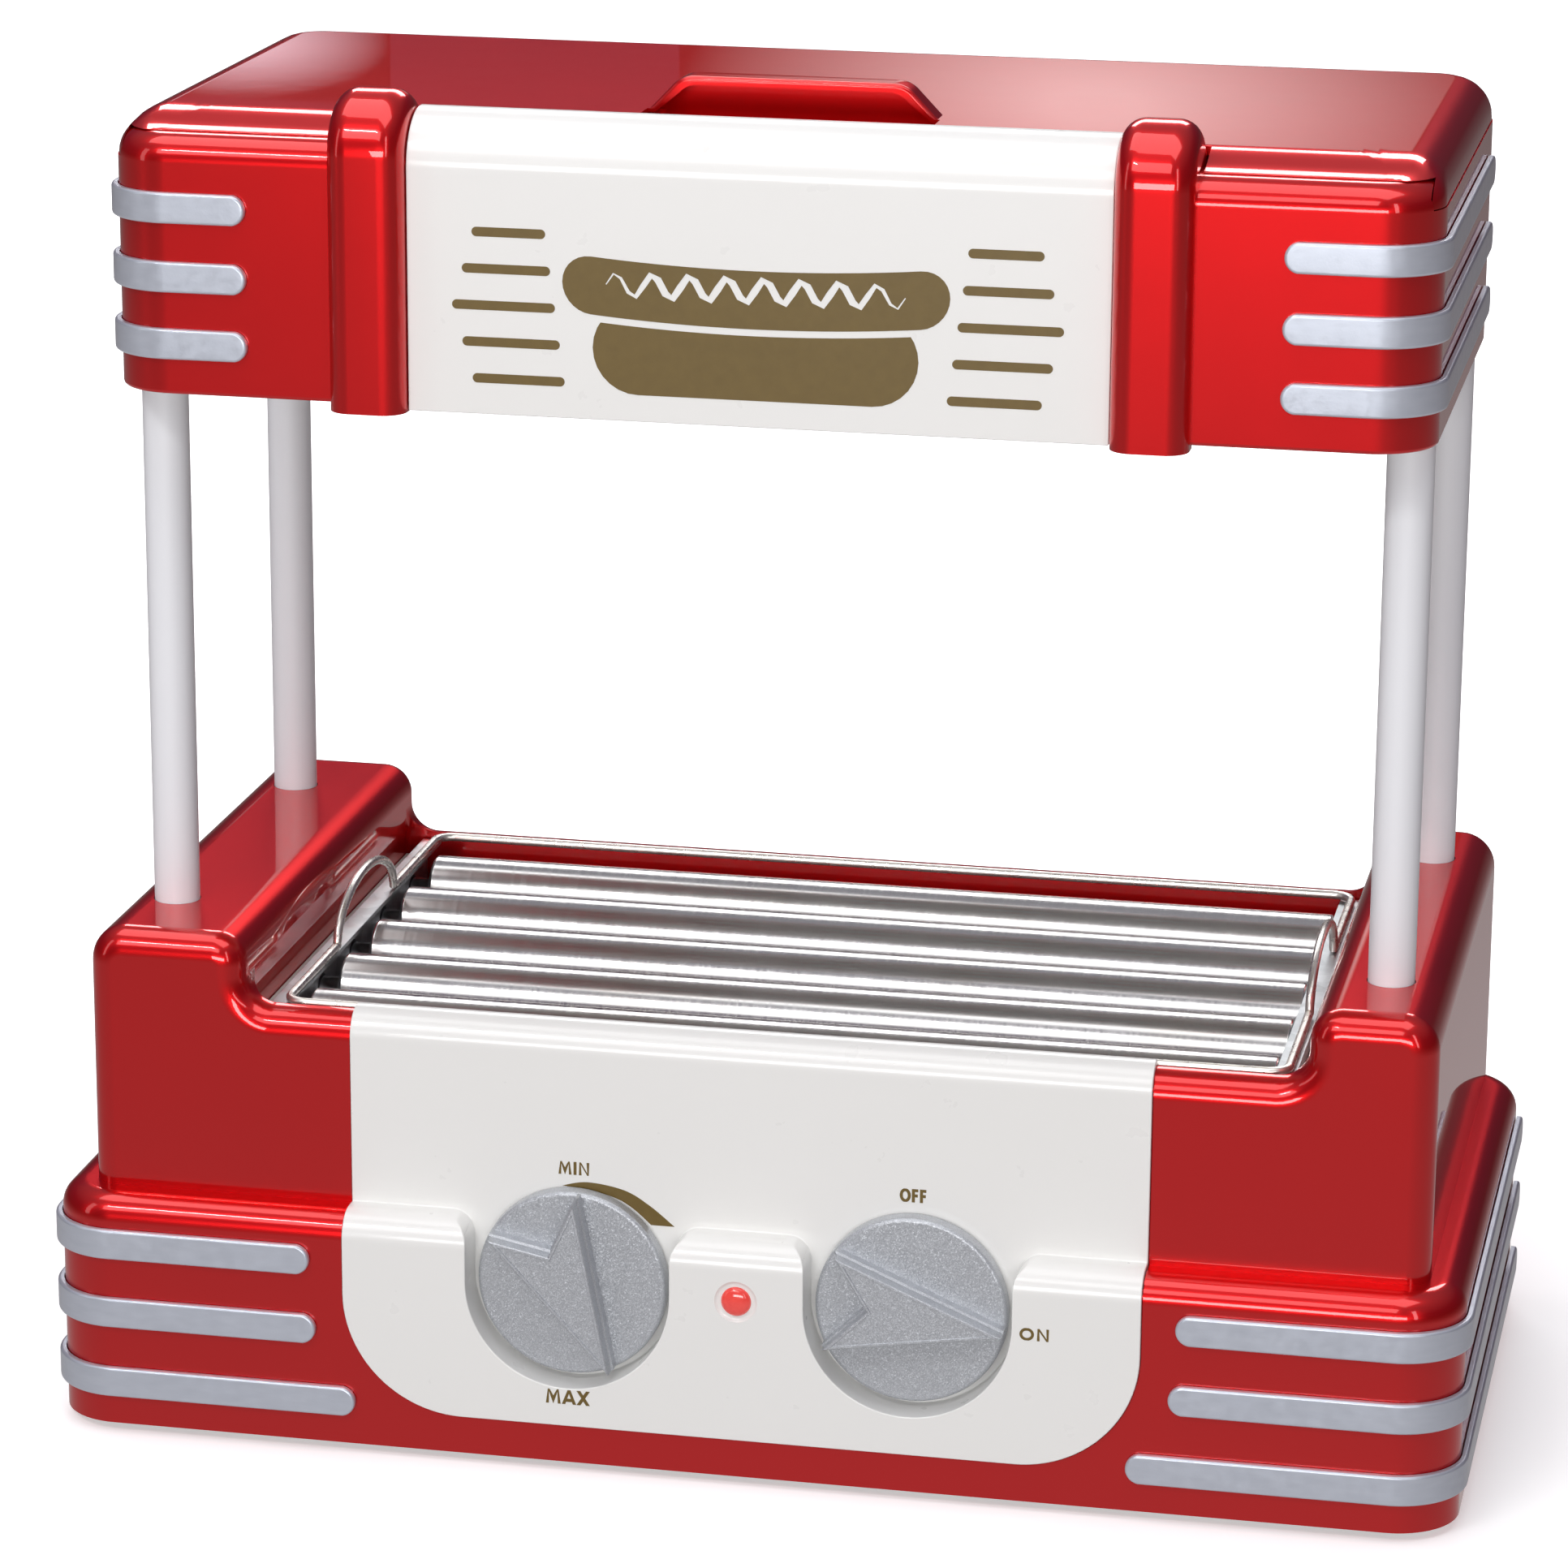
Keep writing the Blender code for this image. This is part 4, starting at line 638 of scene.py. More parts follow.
def panel_seat():
    """The space in the housing that the control panel fills, and a gap round it."""
    behind = SHEET + GAP
    upper, lower = PANEL_UPPER_Y + behind, PANEL_LOWER_Y + behind
    ledge, rim = PANEL_LEDGE - behind, PANEL_HIGH.z - behind
    radius = PANEL_ROUND - behind
    outside, reach = PANEL_LOWER_Y - 0.01, PANEL_HIGH.y + 0.0005
    profile = (
        [(outside, PANEL_LOW.z - 0.01), (lower, PANEL_LOW.z - 0.01)]
        + arc((lower + radius, ledge - radius), radius, 180, 90, 8)
        + [(upper, ledge)]
        + arc((upper + radius, rim - radius), radius, 180, 90, 8)
        + [(reach, rim), (reach, rim + 0.01), (outside, rim + 0.01)]
    )
    seat = slab("panel_seat", [profile], "side", -PANEL_X - 0.01, PANEL_X + 0.01)
    keep(seat, slab("panel_seat_edge", [panel_outline(GAP)], "front", -0.2, 0))
    return settle(seat)


def housing_hollows():
    """The open-bottomed hollows under the moulded skin."""
    plinth = rounded_block(
        "plinth_hollow",
        (-PLINTH_X + WALL, PLINTH_FRONT + WALL, 0),
        (PLINTH_X - WALL, PLINTH_BACK - WALL, PLINTH_TOP - WALL),
        PLINTH_CORNER - WALL,
    )
    front, back, side = UPPER_FRONT + WALL, UPPER_BACK - WALL, UPPER_X - WALL
    under_bay = box("under_bay", (-side, front, 0), (side, back, BAY_FLOOR - WALL))
    towers = []
    for name, xs in (("left", (-side, BAY_LEFT - WALL)), ("right", (BAY_RIGHT + WALL, side))):
        corners = (xs[0], front, 0), (xs[1], back, TOWER_TOP - WALL)
        towers.append(rounded_block(f"tower_hollow_{name}", *corners, UPPER_ROUND, UPPER_ROUND))
    return plinth, under_bay, *towers


def sockets():
    """Where the posts stand in the tower tops, as (name, x, y)."""
    for end in ("front", "rear"):
        for side in ("left", "right"):
            at = middle(f"post_{end}_{side}")
            yield f"{end}_{side}", at.x, at.y


def heater_ends():
    """Where the heating element's two legs run out to the right, as (y, z)."""
    low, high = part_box("heating_element")
    for y in (low.y + HEATER_RADIUS, high.y - HEATER_RADIUS):
        yield y, middle("heating_element").z


def housing_shell():
    shell = rounded_block(
        "housing_shell",
        (-PLINTH_X, PLINTH_FRONT, HOUSE_LOW.z),
        (PLINTH_X, PLINTH_BACK, PLINTH_TOP),
        PLINTH_CORNER, PLINTH_ROUND, 16, 10,
    )
    upper = slab("upper_body", [upper_outline()], "front", UPPER_FRONT, UPPER_BACK)
    round_silhouette(upper, 1, UPPER_ROUND, 9, lambda side, end: side.z > -0.9)
    join(shell, upper)
    cut(shell, *housing_hollows())
    well = rounded_block(
        "bay_well", (BAY_LEFT, BAY_FRONT, BAY_FLOOR), (BAY_RIGHT, BAY_BACK, 0.2), 0.006
    )
    window = box(
        "knob_window",
        (-0.090, PLINTH_FRONT - 0.01, 0.023),
        (0.090, PANEL_UPPER_Y + SHEET + GAP, PLINTH_TOP + 0.002),
    )
    tray_slot = box(
        "tray_slot",
        (TRAY_LOW.x + 0.005, BAY_BACK - 0.008, BAY_FLOOR),
        (TRAY_HIGH.x - 0.005, BAY_BACK + 0.022, 0.096),
    )
    gland = middle("cord_gland")
    gland_hole = cylinder("gland_hole", 1, (gland.x, gland.z), 0.1, 0.12, GLAND_RADIUS + GAP)
    cut(shell, well, panel_seat(), window, tray_slot, gland_hole)
    for name, x, y in sockets():
        join(shell, cylinder(f"boss_{name}", 2, (x, y), BOSS_BOTTOM, TOWER_TOP - 0.001, BOSS_RADIUS))
        cut(shell, cylinder(f"socket_{name}", 2, (x, y), SOCKET_FLOOR, 0.2, POST_HOLE))
    through_left = BAY_LEFT - 0.014, BAY_LEFT + 0.006
    for i in range(1, 6):
        at = middle(f"roller_{i}").yz
        cut(shell, cylinder(f"spindle_hole_{i}", 0, at, *through_left, SPINDLE_HOLE))
    through_right = BAY_RIGHT - 0.007, BAY_RIGHT + 0.008
    for i, at in enumerate(heater_ends()):
        cut(shell, cylinder(f"element_hole_{i}", 0, at, *through_right, HEATER_HOLE))
    finish_piece(shell, RED, "frame", "candy_red", "base_housing")


# Controls


def pocket_outline(x, grow):
    """Front view of a knob pocket: round under the knob, flaring at the ledge."""
    radius, flare = POCKET_RADIUS + grow, 0.007 - grow
    turn_z = PANEL_LEDGE + grow - 0.007
    left, right = x - radius, x + radius
    return (
        arc((x, KNOB_Z), radius, 180, 360, 48)
        + arc((right + flare, turn_z), flare, 180, 90, 8)
        + [(right + flare, PANEL_LEDGE + 0.02), (left - flare, PANEL_LEDGE + 0.02)]
        + arc((left - flare, turn_z), flare, 90, 0, 8)
    )


def control_skin():
    """The ivory front: two upright faces, the ledge between them and the knob pockets."""
    lower, upper = PANEL_LOWER_Y, PANEL_UPPER_Y
    rim_centre = (upper + PANEL_ROUND, PANEL_HIGH.z - PANEL_ROUND)
    ledge_centre = (lower + PANEL_ROUND, PANEL_LEDGE - PANEL_ROUND)
    bottom = PANEL_LOW.z - 0.001
    profile = (
        [(lower, bottom)]
        + arc(ledge_centre, PANEL_ROUND, 180, 90, 12)
        + [(upper, PANEL_LEDGE)]
        + arc(rim_centre, PANEL_ROUND, 180, 90, 12)
        + [(PANEL_HIGH.y, PANEL_HIGH.z), (PANEL_HIGH.y, PANEL_HIGH.z - SHEET)]
        + arc(rim_centre, PANEL_ROUND - SHEET, 90, 180, 12)
        + [(upper + SHEET, bottom)]
    )
    skin = slab("control_skin", [profile], "side", -PANEL_X - 0.01, PANEL_X + 0.01)
    keep(skin, slab("skin_edge", [panel_outline(0)], "front", -0.2, 0))
    for side, x in (("left", -KNOB_X), ("right", KNOB_X)):
        cut(skin, slab(f"pocket_{side}", [pocket_outline(x, 0)], "front", -0.13, PANEL_UPPER_Y))
    soften(skin, 0.0004)
    hollow_front, hollow_top = lower + SHEET, PANEL_LEDGE - SHEET
    corner = PANEL_ROUND - SHEET
    hollow = slab(
        "skin_hollow",
        [[(hollow_front, 0)]
         + arc((hollow_front + corner, hollow_top - corner), corner, 180, 90, 8)
         + [(-0.09, hollow_top), (-0.09, 0)]],
        "side", -0.13, 0.13,
    )
    for side, x in (("left", -KNOB_X), ("right", KNOB_X)):
        cut(hollow, slab(f"pocket_walls_{side}", [pocket_outline(x, SHEET)], "front", -0.13, 0))
        cut(skin, cylinder(f"stem_hole_{side}", 1, (x, KNOB_Z), -0.1, -0.09, 0.0045))
    settle(hollow)
    dish = turned(
        "pilot_dish",
        [(0, 0.0008), (0.0052, 0.0008), (0.0061, 0.0004), (0.0067, -0.0002), (0.0067, -0.004),
         (0, -0.004)],
        64, facing_front(0, PANEL_LOWER_Y, PILOT_Z),
    )
    cut(skin, hollow, dish, cylinder("pilot_hole", 1, (0, PILOT_Z), -0.12, -0.10, 0.0036))
    finish_piece(skin, IVORY, "frame", "ivory_plastic", "control_panel")


def facing_front(x, y, z):
    """Places a turned profile so that its height runs to the rear from (x, y, z)."""
    return Matrix.Translation((x, y, z)) @ Matrix.Rotation(math.radians(-90), 4, "X")


def dart(pointer, inset):
    """Front view of a knob's raised pointer, turned clockwise from 12 o'clock."""
    corners = ((0, 0.0302), (148, 0.0292), (180, 0.0125), (212, 0.0292))
    angles = [(math.radians(90 - pointer - turn), radius) for turn, radius in corners]
    points = [Vector((radius * math.cos(a), radius * math.sin(a))) for a, radius in angles]
    return moved_in(points, inset)


def moved_in(points, inset):
    """A clockwise polygon with each side moved in by inset."""
    found = []
    for i, here in enumerate(points):
        before = (here - points[i - 1]).normalized()
        after = (points[(i + 1) % len(points)] - here).normalized()
        in_before, in_after = Vector((before.y, -before.x)), Vector((after.y, -after.x))
        found.append(here + (in_before + in_after) * inset / (1 + in_before.dot(in_after)))
    return found


def sloped(name, outlines, ys):
    """A front-view outline at each y, joined by sloped walls."""
    bm = bmesh.new()
    rings = [[bm.verts.new((u, y, v)) for u, v in outline] for outline, y in zip(outlines, ys)]
    for near, far in zip(rings, rings[1:]):
        for i in range(len(near)):
            j = (i + 1) % len(near)
            bm.faces.new((near[i], near[j], far[j], far[i]))
    bm.faces.new(rings[0])
    bm.faces.new(rings[-1])
    return mesh_object(name, bm)


def knob(name, x, pointer):
    """A disc with a bevelled rim and a raised, slope-sided dart."""
    edge, depth = 0.0013, KNOB_BACK_Y - KNOB_FACE_Y
    profile = (
        [(0, 0)]
        + [(r, h) for h, r in arc((edge, KNOB_RADIUS - edge), edge, 180, 90, 6)]
        + [(KNOB_RADIUS, depth - 0.0006), (KNOB_RADIUS - 0.0006, depth), (0.003, depth),
           (0.003, 0.0195), (0, 0.0195)]
    )
    cap = turned(name, profile, 128, facing_front(x, KNOB_FACE_Y, KNOB_Z))
    levels = (
        (0.0015, GRIP_FACE_Y + 0.0003), (0.0013, GRIP_FACE_Y), (0.0007, GRIP_FACE_Y),
        (0.0004, GRIP_FACE_Y + 0.0003), (0.0003, GRIP_FACE_Y + 0.0042), (-0.0003, GRIP_FACE_Y + 0.0048),
        (-0.0004, KNOB_FACE_Y + 0.002),
    )
    outlines = [[(x + u, KNOB_Z + v) for u, v in dart(pointer, inset)] for inset, _ in levels]
    pointer_piece = sloped(f"{name}_dart", outlines, [y for _, y in levels])
    limit = cylinder(f"{name}_limit", 1, (x, KNOB_Z), GRIP_FACE_Y - 0.01, 0, KNOB_RADIUS - 0.0003, 96)
    keep(pointer_piece, limit)
    join(cap, pointer_piece)
    body = name.replace("_cap", "")
    finish_piece(cap, SILVER, body, "knob_silver", body)


def pilot_light():
    """A domed cap on a stem, in its dish."""
    radius, rise = 0.0046, 0.0020
    dome = [(radius * u, rise * (1 + v)) for u, v in arc((0, 0), 1.0, -90, 0, 10)]
    profile = dome + [(radius, 0.0022), (0.0032, 0.0022), (0.0032, 0.013), (0, 0.013)]
    cap = turned("pilot_light", profile, 64, facing_front(0, PANEL_LOWER_Y - 0.0012, PILOT_Z))
    finish_piece(cap, LENS, "frame", "pilot_lens", "pilot_lens")


# Trim and posts


def trim_strip(name, node, half_x, front, corner, mirror):
    """A strip with round ends and rolled edges, wrapped round an outer corner."""
    low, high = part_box(node)
    z, radius = (low.z + high.z) / 2, (high.z - low.z) / 2
    start_x = min(abs(low.x), abs(high.x))
    straight = half_x - corner - start_x
    bend = corner * math.pi / 2
    length = straight + bend + high.y - front - corner
    proud, rolled = 0.0022, 0.0009

    def place(s, outward, height):
        if s < straight:
            return mirror * (start_x + s), front - outward, z + height
        if s < straight + bend:
            angle = (s - straight) / corner
            reach = corner + outward
            return (
                mirror * (half_x - corner + reach * math.sin(angle)),
                front + corner - reach * math.cos(angle),
                z + height,
            )
        return mirror * (half_x + outward), front + corner + s - straight - bend, z + height

    stations = [(radius, -a) for a in range(90, 0, -10)]
    stations += [(straight + bend * i / 20, 0) for i in range(21)]
    stations += [(length - radius, a) for a in range(10, 91, 10)]
    levels = [(GAP, 0), (proud - rolled, 0)]
    for a in (22.5, 45, 67.5, 90):
        turn = math.radians(a)
        levels.append((proud - rolled + rolled * math.sin(turn), rolled * (1 - math.cos(turn))))
    bm = bmesh.new()
    rings = []
    for outward, inset in levels:
        ring = []
        for sign in (1, -1):
            for s, turn in stations:
                a, r = math.radians(turn), radius - inset
                ring.append(bm.verts.new(place(s + r * math.sin(a), outward, sign * r * math.cos(a))))
        rings.append(ring)
    count = len(stations)
    for near, far in zip(rings, rings[1:]):
        for first in (0, count):
            for i in range(first, first + count - 1):
                bm.faces.new((near[i], near[i + 1], far[i + 1], far[i]))
    for ring in (rings[0], rings[-1]):
        for i in range(count - 1):
            bm.faces.new((ring[i], ring[i + 1], ring[count + i + 1], ring[count + i]))
    bmesh.ops.remove_doubles(bm, verts=bm.verts, dist=1e-6)
    finish_piece(mesh_object(name, bm), SATIN, "frame", "trim_silver", node)


def trims():
    for side, mirror in SIDES:
        for level in ("top", "middle", "bottom"):
            edge = f"{side}_{level}"
            for part, outline in (
                ("base", (PLINTH_X, PLINTH_FRONT, PLINTH_CORNER)),
                ("canopy", (CANOPY_X, CANOPY_FRONT, CANOPY_CORNER)),
            ):
                trim_strip(f"{part}_strip_{edge}", f"{part}_trim_{edge}", *outline, mirror)


def posts():
    """Moulded tubes with rounded ends."""
    for name, x, y in sockets():
        low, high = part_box(f"post_{name}")
        radius, edge = (high.x - low.x) / 2, 0.001
        bottom, top = low.z, high.z
        profile = (
            [(0, bottom)]
            + arc((radius - edge, bottom + edge), edge, -90, 0, 4)
            + arc((radius - edge, top - edge), edge, 0, 90, 4)
            + [(0, top)]
        )
        tube = turned(f"post_tube_{name}", profile, 64, Matrix.Translation((x, y, 0)))
        finish_piece(tube, WHITE, "frame", "white_plastic", f"post_{name}")


def feet_and_gland():
    for end in ("front", "rear"):
        for side in ("left", "right"):
            node = f"foot_{end}_{side}"
            at, top = middle(node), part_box(node)[1].z
            profile = [
                (0, 0.0008), (0.0045, 0.0008), (0.0055, 0.0), (0.0088, 0), (0.0098, 0.0007),
                (0.010, 0.0016), (0.010, top), (0, top),
            ]
            foot = turned(f"rubber_{node}", profile, 48, Matrix.Translation((at.x, at.y, 0)))
            finish_piece(foot, RUBBER, "frame", "rubber", node)
    at, back, end = middle("cord_gland"), PLINTH_BACK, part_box("cord_gland")[1].y
    profile = [
        (0.0035, back - 0.009), (GLAND_RADIUS, back - 0.009), (GLAND_RADIUS, back + GAP),
        (0.0090, back + GAP), (0.0095, back + 0.0008), (0.0094, end - 0.0008), (0.0084, end),
        (0.0042, end), (0.0035, end - 0.0008),
    ]
    relief = turned("strain_relief", profile, 48, facing_front(at.x, 0, at.z))
    finish_piece(relief, RUBBER, "frame", "rubber", "cord_gland")


# Canopy


def pillar(side, x):
    """A raised, round-topped rib beside the sign."""
    back = CANOPY_FRONT + CANOPY_WALL + 0.001
    centre = (PILLAR_FRONT + PILLAR_ROUND, PILLAR_TOP - PILLAR_ROUND)
    deck = CANOPY_TOP - 0.0015
    profile = (
        [(PILLAR_FRONT, CANOPY_LOW.z)]
        + arc(centre, PILLAR_ROUND, 180, 40, 24)
        + [(centre[0] + PILLAR_ROUND * math.cos(math.radians(40)), deck), (back, deck)]
        + [(back, CANOPY_LOW.z)]
    )
    half = PILLAR_WIDTH / 2
    rib = slab(f"pillar_{side}", [profile], "side", x - half, x + half)
    round_silhouette(rib, 0, 0.007, 9, lambda side, end: side.y < -0.1 or side.z > 0.1)
    inside = box(
        f"pillar_hollow_{side}",
        (x - half + 0.003, PILLAR_FRONT + 0.003, CANOPY_LOW.z - 0.01),
        (x + half - 0.003, CANOPY_FRONT + 0.001, CANOPY_TOP - 0.005),
    )
    return rib, inside


def lid_front_space():
    """What lies ahead of the lid's front edge and its round nose."""
    nose = 0.0004
    edge = [(LID_FRONT, 0.38)] + arc((LID_FRONT + nose, LID_EDGE_Z - nose), nose, 180, 95, 5)
    outside = [(LID_FRONT + nose, 0.42), (-0.12, 0.42), (-0.12, 0.38)]
    return slab("lid_front_space", [edge + outside], "side", -0.25, 0.25)


def roof_height(inset, y):
    """The roof's height by distance in from its outline: lower and tighter at the front."""
    along = min(max((y - LID_FRONT) / (LID_SLOPE_BACK - LID_FRONT), 0.0), 1.0)
    rise = (1 - math.cos(math.pi * along)) / 2
    top = LID_EDGE_Z + (LID_TOP - LID_EDGE_Z) * rise
    bend = FRONT_ROUND + (LID_ROUND - FRONT_ROUND) * rise
    if inset >= bend:
        return top
    return top - bend + math.sqrt(bend ** 2 - (bend - inset) ** 2)


def roof_block():
    """A solid block whose top is the roof's surface, made of rings inside its outline."""
    insets = [0, 0.0002, 0.0006, 0.0012, 0.002, 0.003, 0.0045, 0.006, 0.008, 0.010, 0.012, 0.0135]
    insets += [0.015 + 0.0015 * i for i in range(13)] + [0.036, 0.045, 0.060, 0.080, 0.091]
    left, front = -CANOPY_X + GAP, CANOPY_FRONT + GAP
    right, back = CANOPY_X - GAP, CANOPY_BACK - GAP
    bm = bmesh.new()

    def ring(inset, height=None):
        corner = max(CANOPY_CORNER - GAP - inset, 0.0004)
        low_x, high_x, low_y, high_y = left + inset, right - inset, front + inset, back - inset
        centres_y = low_y + corner, high_y - corner
        side = [centres_y[0] + (centres_y[1] - centres_y[0]) * (i / 16) ** 1.5 for i in range(1, 16)]
        outline = (
            arc((high_x - corner, centres_y[1]), corner, 0, 90, 10)
            + arc((low_x + corner, centres_y[1]), corner, 90, 180, 10)
            + [(low_x, y) for y in reversed(side)]
            + arc((low_x + corner, centres_y[0]), corner, 180, 270, 10)
            + arc((high_x - corner, centres_y[0]), corner, 270, 360, 10)
            + [(high_x, y) for y in side]
        )
        heights = [height or roof_height(inset, y) for _, y in outline]
        return [bm.verts.new((x, y, z)) for (x, y), z in zip(outline, heights)]

    rings = [ring(0, REBATE_Z + GAP)] + [ring(inset) for inset in insets]
    for near, far in zip(rings, rings[1:]):
        for i in range(len(near)):
            j = (i + 1) % len(near)
            bm.faces.new((near[i], near[j], far[j], far[i]))
    bm.faces.new(rings[0])
    bm.faces.new(rings[-1])
    return mesh_object("roof_lid", bm)


def sign_profile(skin):
    """Side view of the sign's front and top, moved in by skin."""
    front, top, radius = SIGN_LOW.y + skin, SIGN_HIGH.z - skin, SIGN_ROUND - skin
    return [(front, SIGN_LOW.z)] + arc((front + radius, top - radius), radius, 180, 90, 16)


def canopy_shell():
    shell = rounded_block(
        "canopy_shell",
        (-CANOPY_X, CANOPY_FRONT, CANOPY_BOTTOM),
        (CANOPY_X, CANOPY_BACK, CANOPY_TOP),
        CANOPY_CORNER, FRONT_ROUND, 16, 10,
    )
    soft_bottom(shell, 0.0012)
    cavities = []
    for name, inset, top in (
        ("cavity", CANOPY_WALL, REBATE_Z - CANOPY_WALL),
        ("cavity_top", CANOPY_WALL + REBATE, CANOPY_TOP - WALL),
    ):
        cavities.append(rounded_block(
            name,
            (-CANOPY_X + inset, CANOPY_FRONT + CANOPY_WALL, CANOPY_BOTTOM - 0.01),
            (CANOPY_X - inset, CANOPY_BACK - inset, top),
            CANOPY_CORNER - inset,
        ))
    hatch = rounded_block("hatch", (-HATCH_X, HATCH_FRONT, 0.39), (HATCH_X, HATCH_BACK, 0.42), 0.006)
    rebate = box("rebate", (-0.25, LID_FRONT - GAP, REBATE_Z), (0.25, 0.15, 0.45))
    cut(rebate, rounded_block(
        "rebate_core",
        (-CANOPY_X + REBATE, -0.2, 0.3),
        (CANOPY_X - REBATE, CANOPY_BACK - REBATE, 0.5),
        CANOPY_CORNER - REBATE,
    ))
    settle(rebate)
    skin = sign_profile(SHEET + GAP)
    skin[0] = (skin[0][0], SIGN_LOW.z - 0.01)
    seat_profile = skin + [(skin[-1][0], 0.42), (-0.12, 0.42), (-0.12, SIGN_LOW.z - 0.01)]
    side_gap = GAP + 0.0001
    seat = slab("sign_seat", [seat_profile], "side", SIGN_LOW.x - side_gap, SIGN_HIGH.x + side_gap)
    cut(shell, *cavities, hatch, rebate, seat)
    for name, x, y in sockets():
        socket = (x, y), CANOPY_BOTTOM - 0.01, UPPER_SOCKET_TOP, POST_HOLE
        cut(shell, cylinder(f"upper_socket_{name}", 2, *socket))
    for side, sign in SIDES:
        rib, inside = pillar(side, sign * PILLAR_X)
        join(shell, rib)
        cut(shell, inside)
        for end, low, high in EARS:
            low_x, high_x = sorted((sign * low, sign * high))
            ear = cylinder(f"ear_{side}_{end}", 0, (HINGE_Y, HINGE_Z), low_x, high_x, HINGE_RADIUS)
            root = box(
                f"ear_root_{side}_{end}",
                (low_x, CANOPY_BACK - 0.001, HINGE_Z - 0.0022),
                (high_x, HINGE_Y - 0.0003, HINGE_Z + 0.0004),
            )
            join(shell, ear, root)
        cut(shell, hinge_bore(f"ear_bore_{side}", sign))
    finish_piece(shell, RED, "frame", "candy_red", "canopy_body")


def hinge_bore(name, sign):
    low, high = sorted(sign * x for x in HINGE_REACH)
    return cylinder(name, 0, (HINGE_Y, HINGE_Z), low, high, HINGE_BORE)


def soft_bottom(obj, width):
    """Rounds a block's lowest edges a little."""
    bm = bmesh.new()
    bm.from_mesh(obj.data)
    lowest = min(v.co.z for v in bm.verts)
    edges = [e for e in bm.edges if all(v.co.z < lowest + 1e-6 for v in e.verts)]
    round_edges(bm, edges, width, 3)
    bm.to_mesh(obj.data)
    bm.free()


def sign_skin():
    outer, inner = sign_profile(0), sign_profile(SHEET)
    back, drop = outer[-1][0] + SHEET, CANOPY_TOP + GAP
    profile = outer + [(back, SIGN_HIGH.z), (back, drop), (back - SHEET, drop)] + inner[::-1]
    skin = slab("sign_skin", [profile], "side", SIGN_LOW.x, SIGN_HIGH.x)
    soften(skin, 0.0004)
    finish_piece(skin, IVORY, "frame", "ivory_plastic", "sign_panel")


def grip_outline(inset):
    """Front view of the lid's raised grip, running out to thin ends."""
    base, shoulder, low = 0.0447 - inset, 0.030 - inset / 2, 0.4035
    top, bend = LID_HIGH.z - inset, 0.0085 - inset / 2
    right = [(base, low)] + arc((shoulder, top - bend), bend, 40, 90, 10)
    return right + [(-x, z) for x, z in reversed(right)]


def lid():
    """The roof: a skirted lid with a finger scoop under a raised grip."""
    roof = roof_block()
    skirt = REBATE - GAP
    hollow = rounded_block(
        "lid_hollow",
        (-CANOPY_X + skirt, LID_HOLLOW_FRONT, 0.38),
        (CANOPY_X - skirt, CANOPY_BACK - skirt, LID_TOP - LID_SHEET),
        CANOPY_CORNER - skirt, 0.0045, 12, 4,
    )
    reach, under_edge = CANOPY_X - skirt, CANOPY_TOP + 0.0001
    front_edge = box("front_edge", (-reach, -0.12, 0.38), (reach, -0.05, under_edge))
    notch = box("notch", (-LID_NOTCH_X, -0.12, 0.38), (LID_NOTCH_X, LID_NOTCH_BACK, 0.42))
    cut(roof, hollow, front_edge, lid_front_space(), notch)
    pan = box(
        "scoop_pan",
        (-SCOOP_X - 0.0025, SCOOP_FRONT - 0.002, SCOOP_FLOOR - 0.0025),
        (SCOOP_X + 0.0025, SCOOP_BACK + 0.0025, LID_TOP - 0.001),
    )
    hood = slab("grip_hood", [grip_outline(0)], "front", GRIP_FRONT, GRIP_BACK)
    round_silhouette(hood, 1, 0.0012, 4, lambda side, end: side.z > 0.05 and end.y < 0)
    round_silhouette(hood, 1, 0.005, 6, lambda side, end: side.z > 0.05 and end.y > 0)
    join(roof, pan, hood)
    space = rounded_block(
        "scoop_space", (-SCOOP_X, SCOOP_FRONT, SCOOP_FLOOR), (SCOOP_X, SCOOP_BACK, 0.4040), 0.004
    )
    inside = slab("grip_space", [grip_outline(0.0025)], "front", SCOOP_FRONT, SCOOP_BACK)
    cut(roof, space, scoop_mouth(), inside)
    for side, sign in SIDES:
        low, high = sorted(sign * x for x in KNUCKLE)
        knuckle = cylinder(f"knuckle_{side}", 0, (HINGE_Y, HINGE_Z), low, high, HINGE_RADIUS)
        tongue = box(f"tongue_{side}", (low, 0.0965, REBATE_Z + GAP), (high, HINGE_Y + 0.0015, 0.3955))
        join(roof, knuckle, tongue)
        cut(roof, hinge_bore(f"knuckle_bore_{side}", sign))
    finish_piece(roof, RED, "canopy_lid", "candy_red", "canopy_lid")


def scoop_mouth():
    """The scoop's opening, ended at the grip's front face."""
    low, high = (-SCOOP_X, SCOOP_FRONT, 0.4030), (SCOOP_X, GRIP_FRONT + 0.004, 0.42)
    mouth = rounded_block("scoop_mouth", low, high, 0.004)
    keep(mouth, box("mouth_limit", (-0.1, -0.1, 0.3), (0.1, GRIP_FRONT, 0.5)))
    return settle(mouth)


# Roller bed


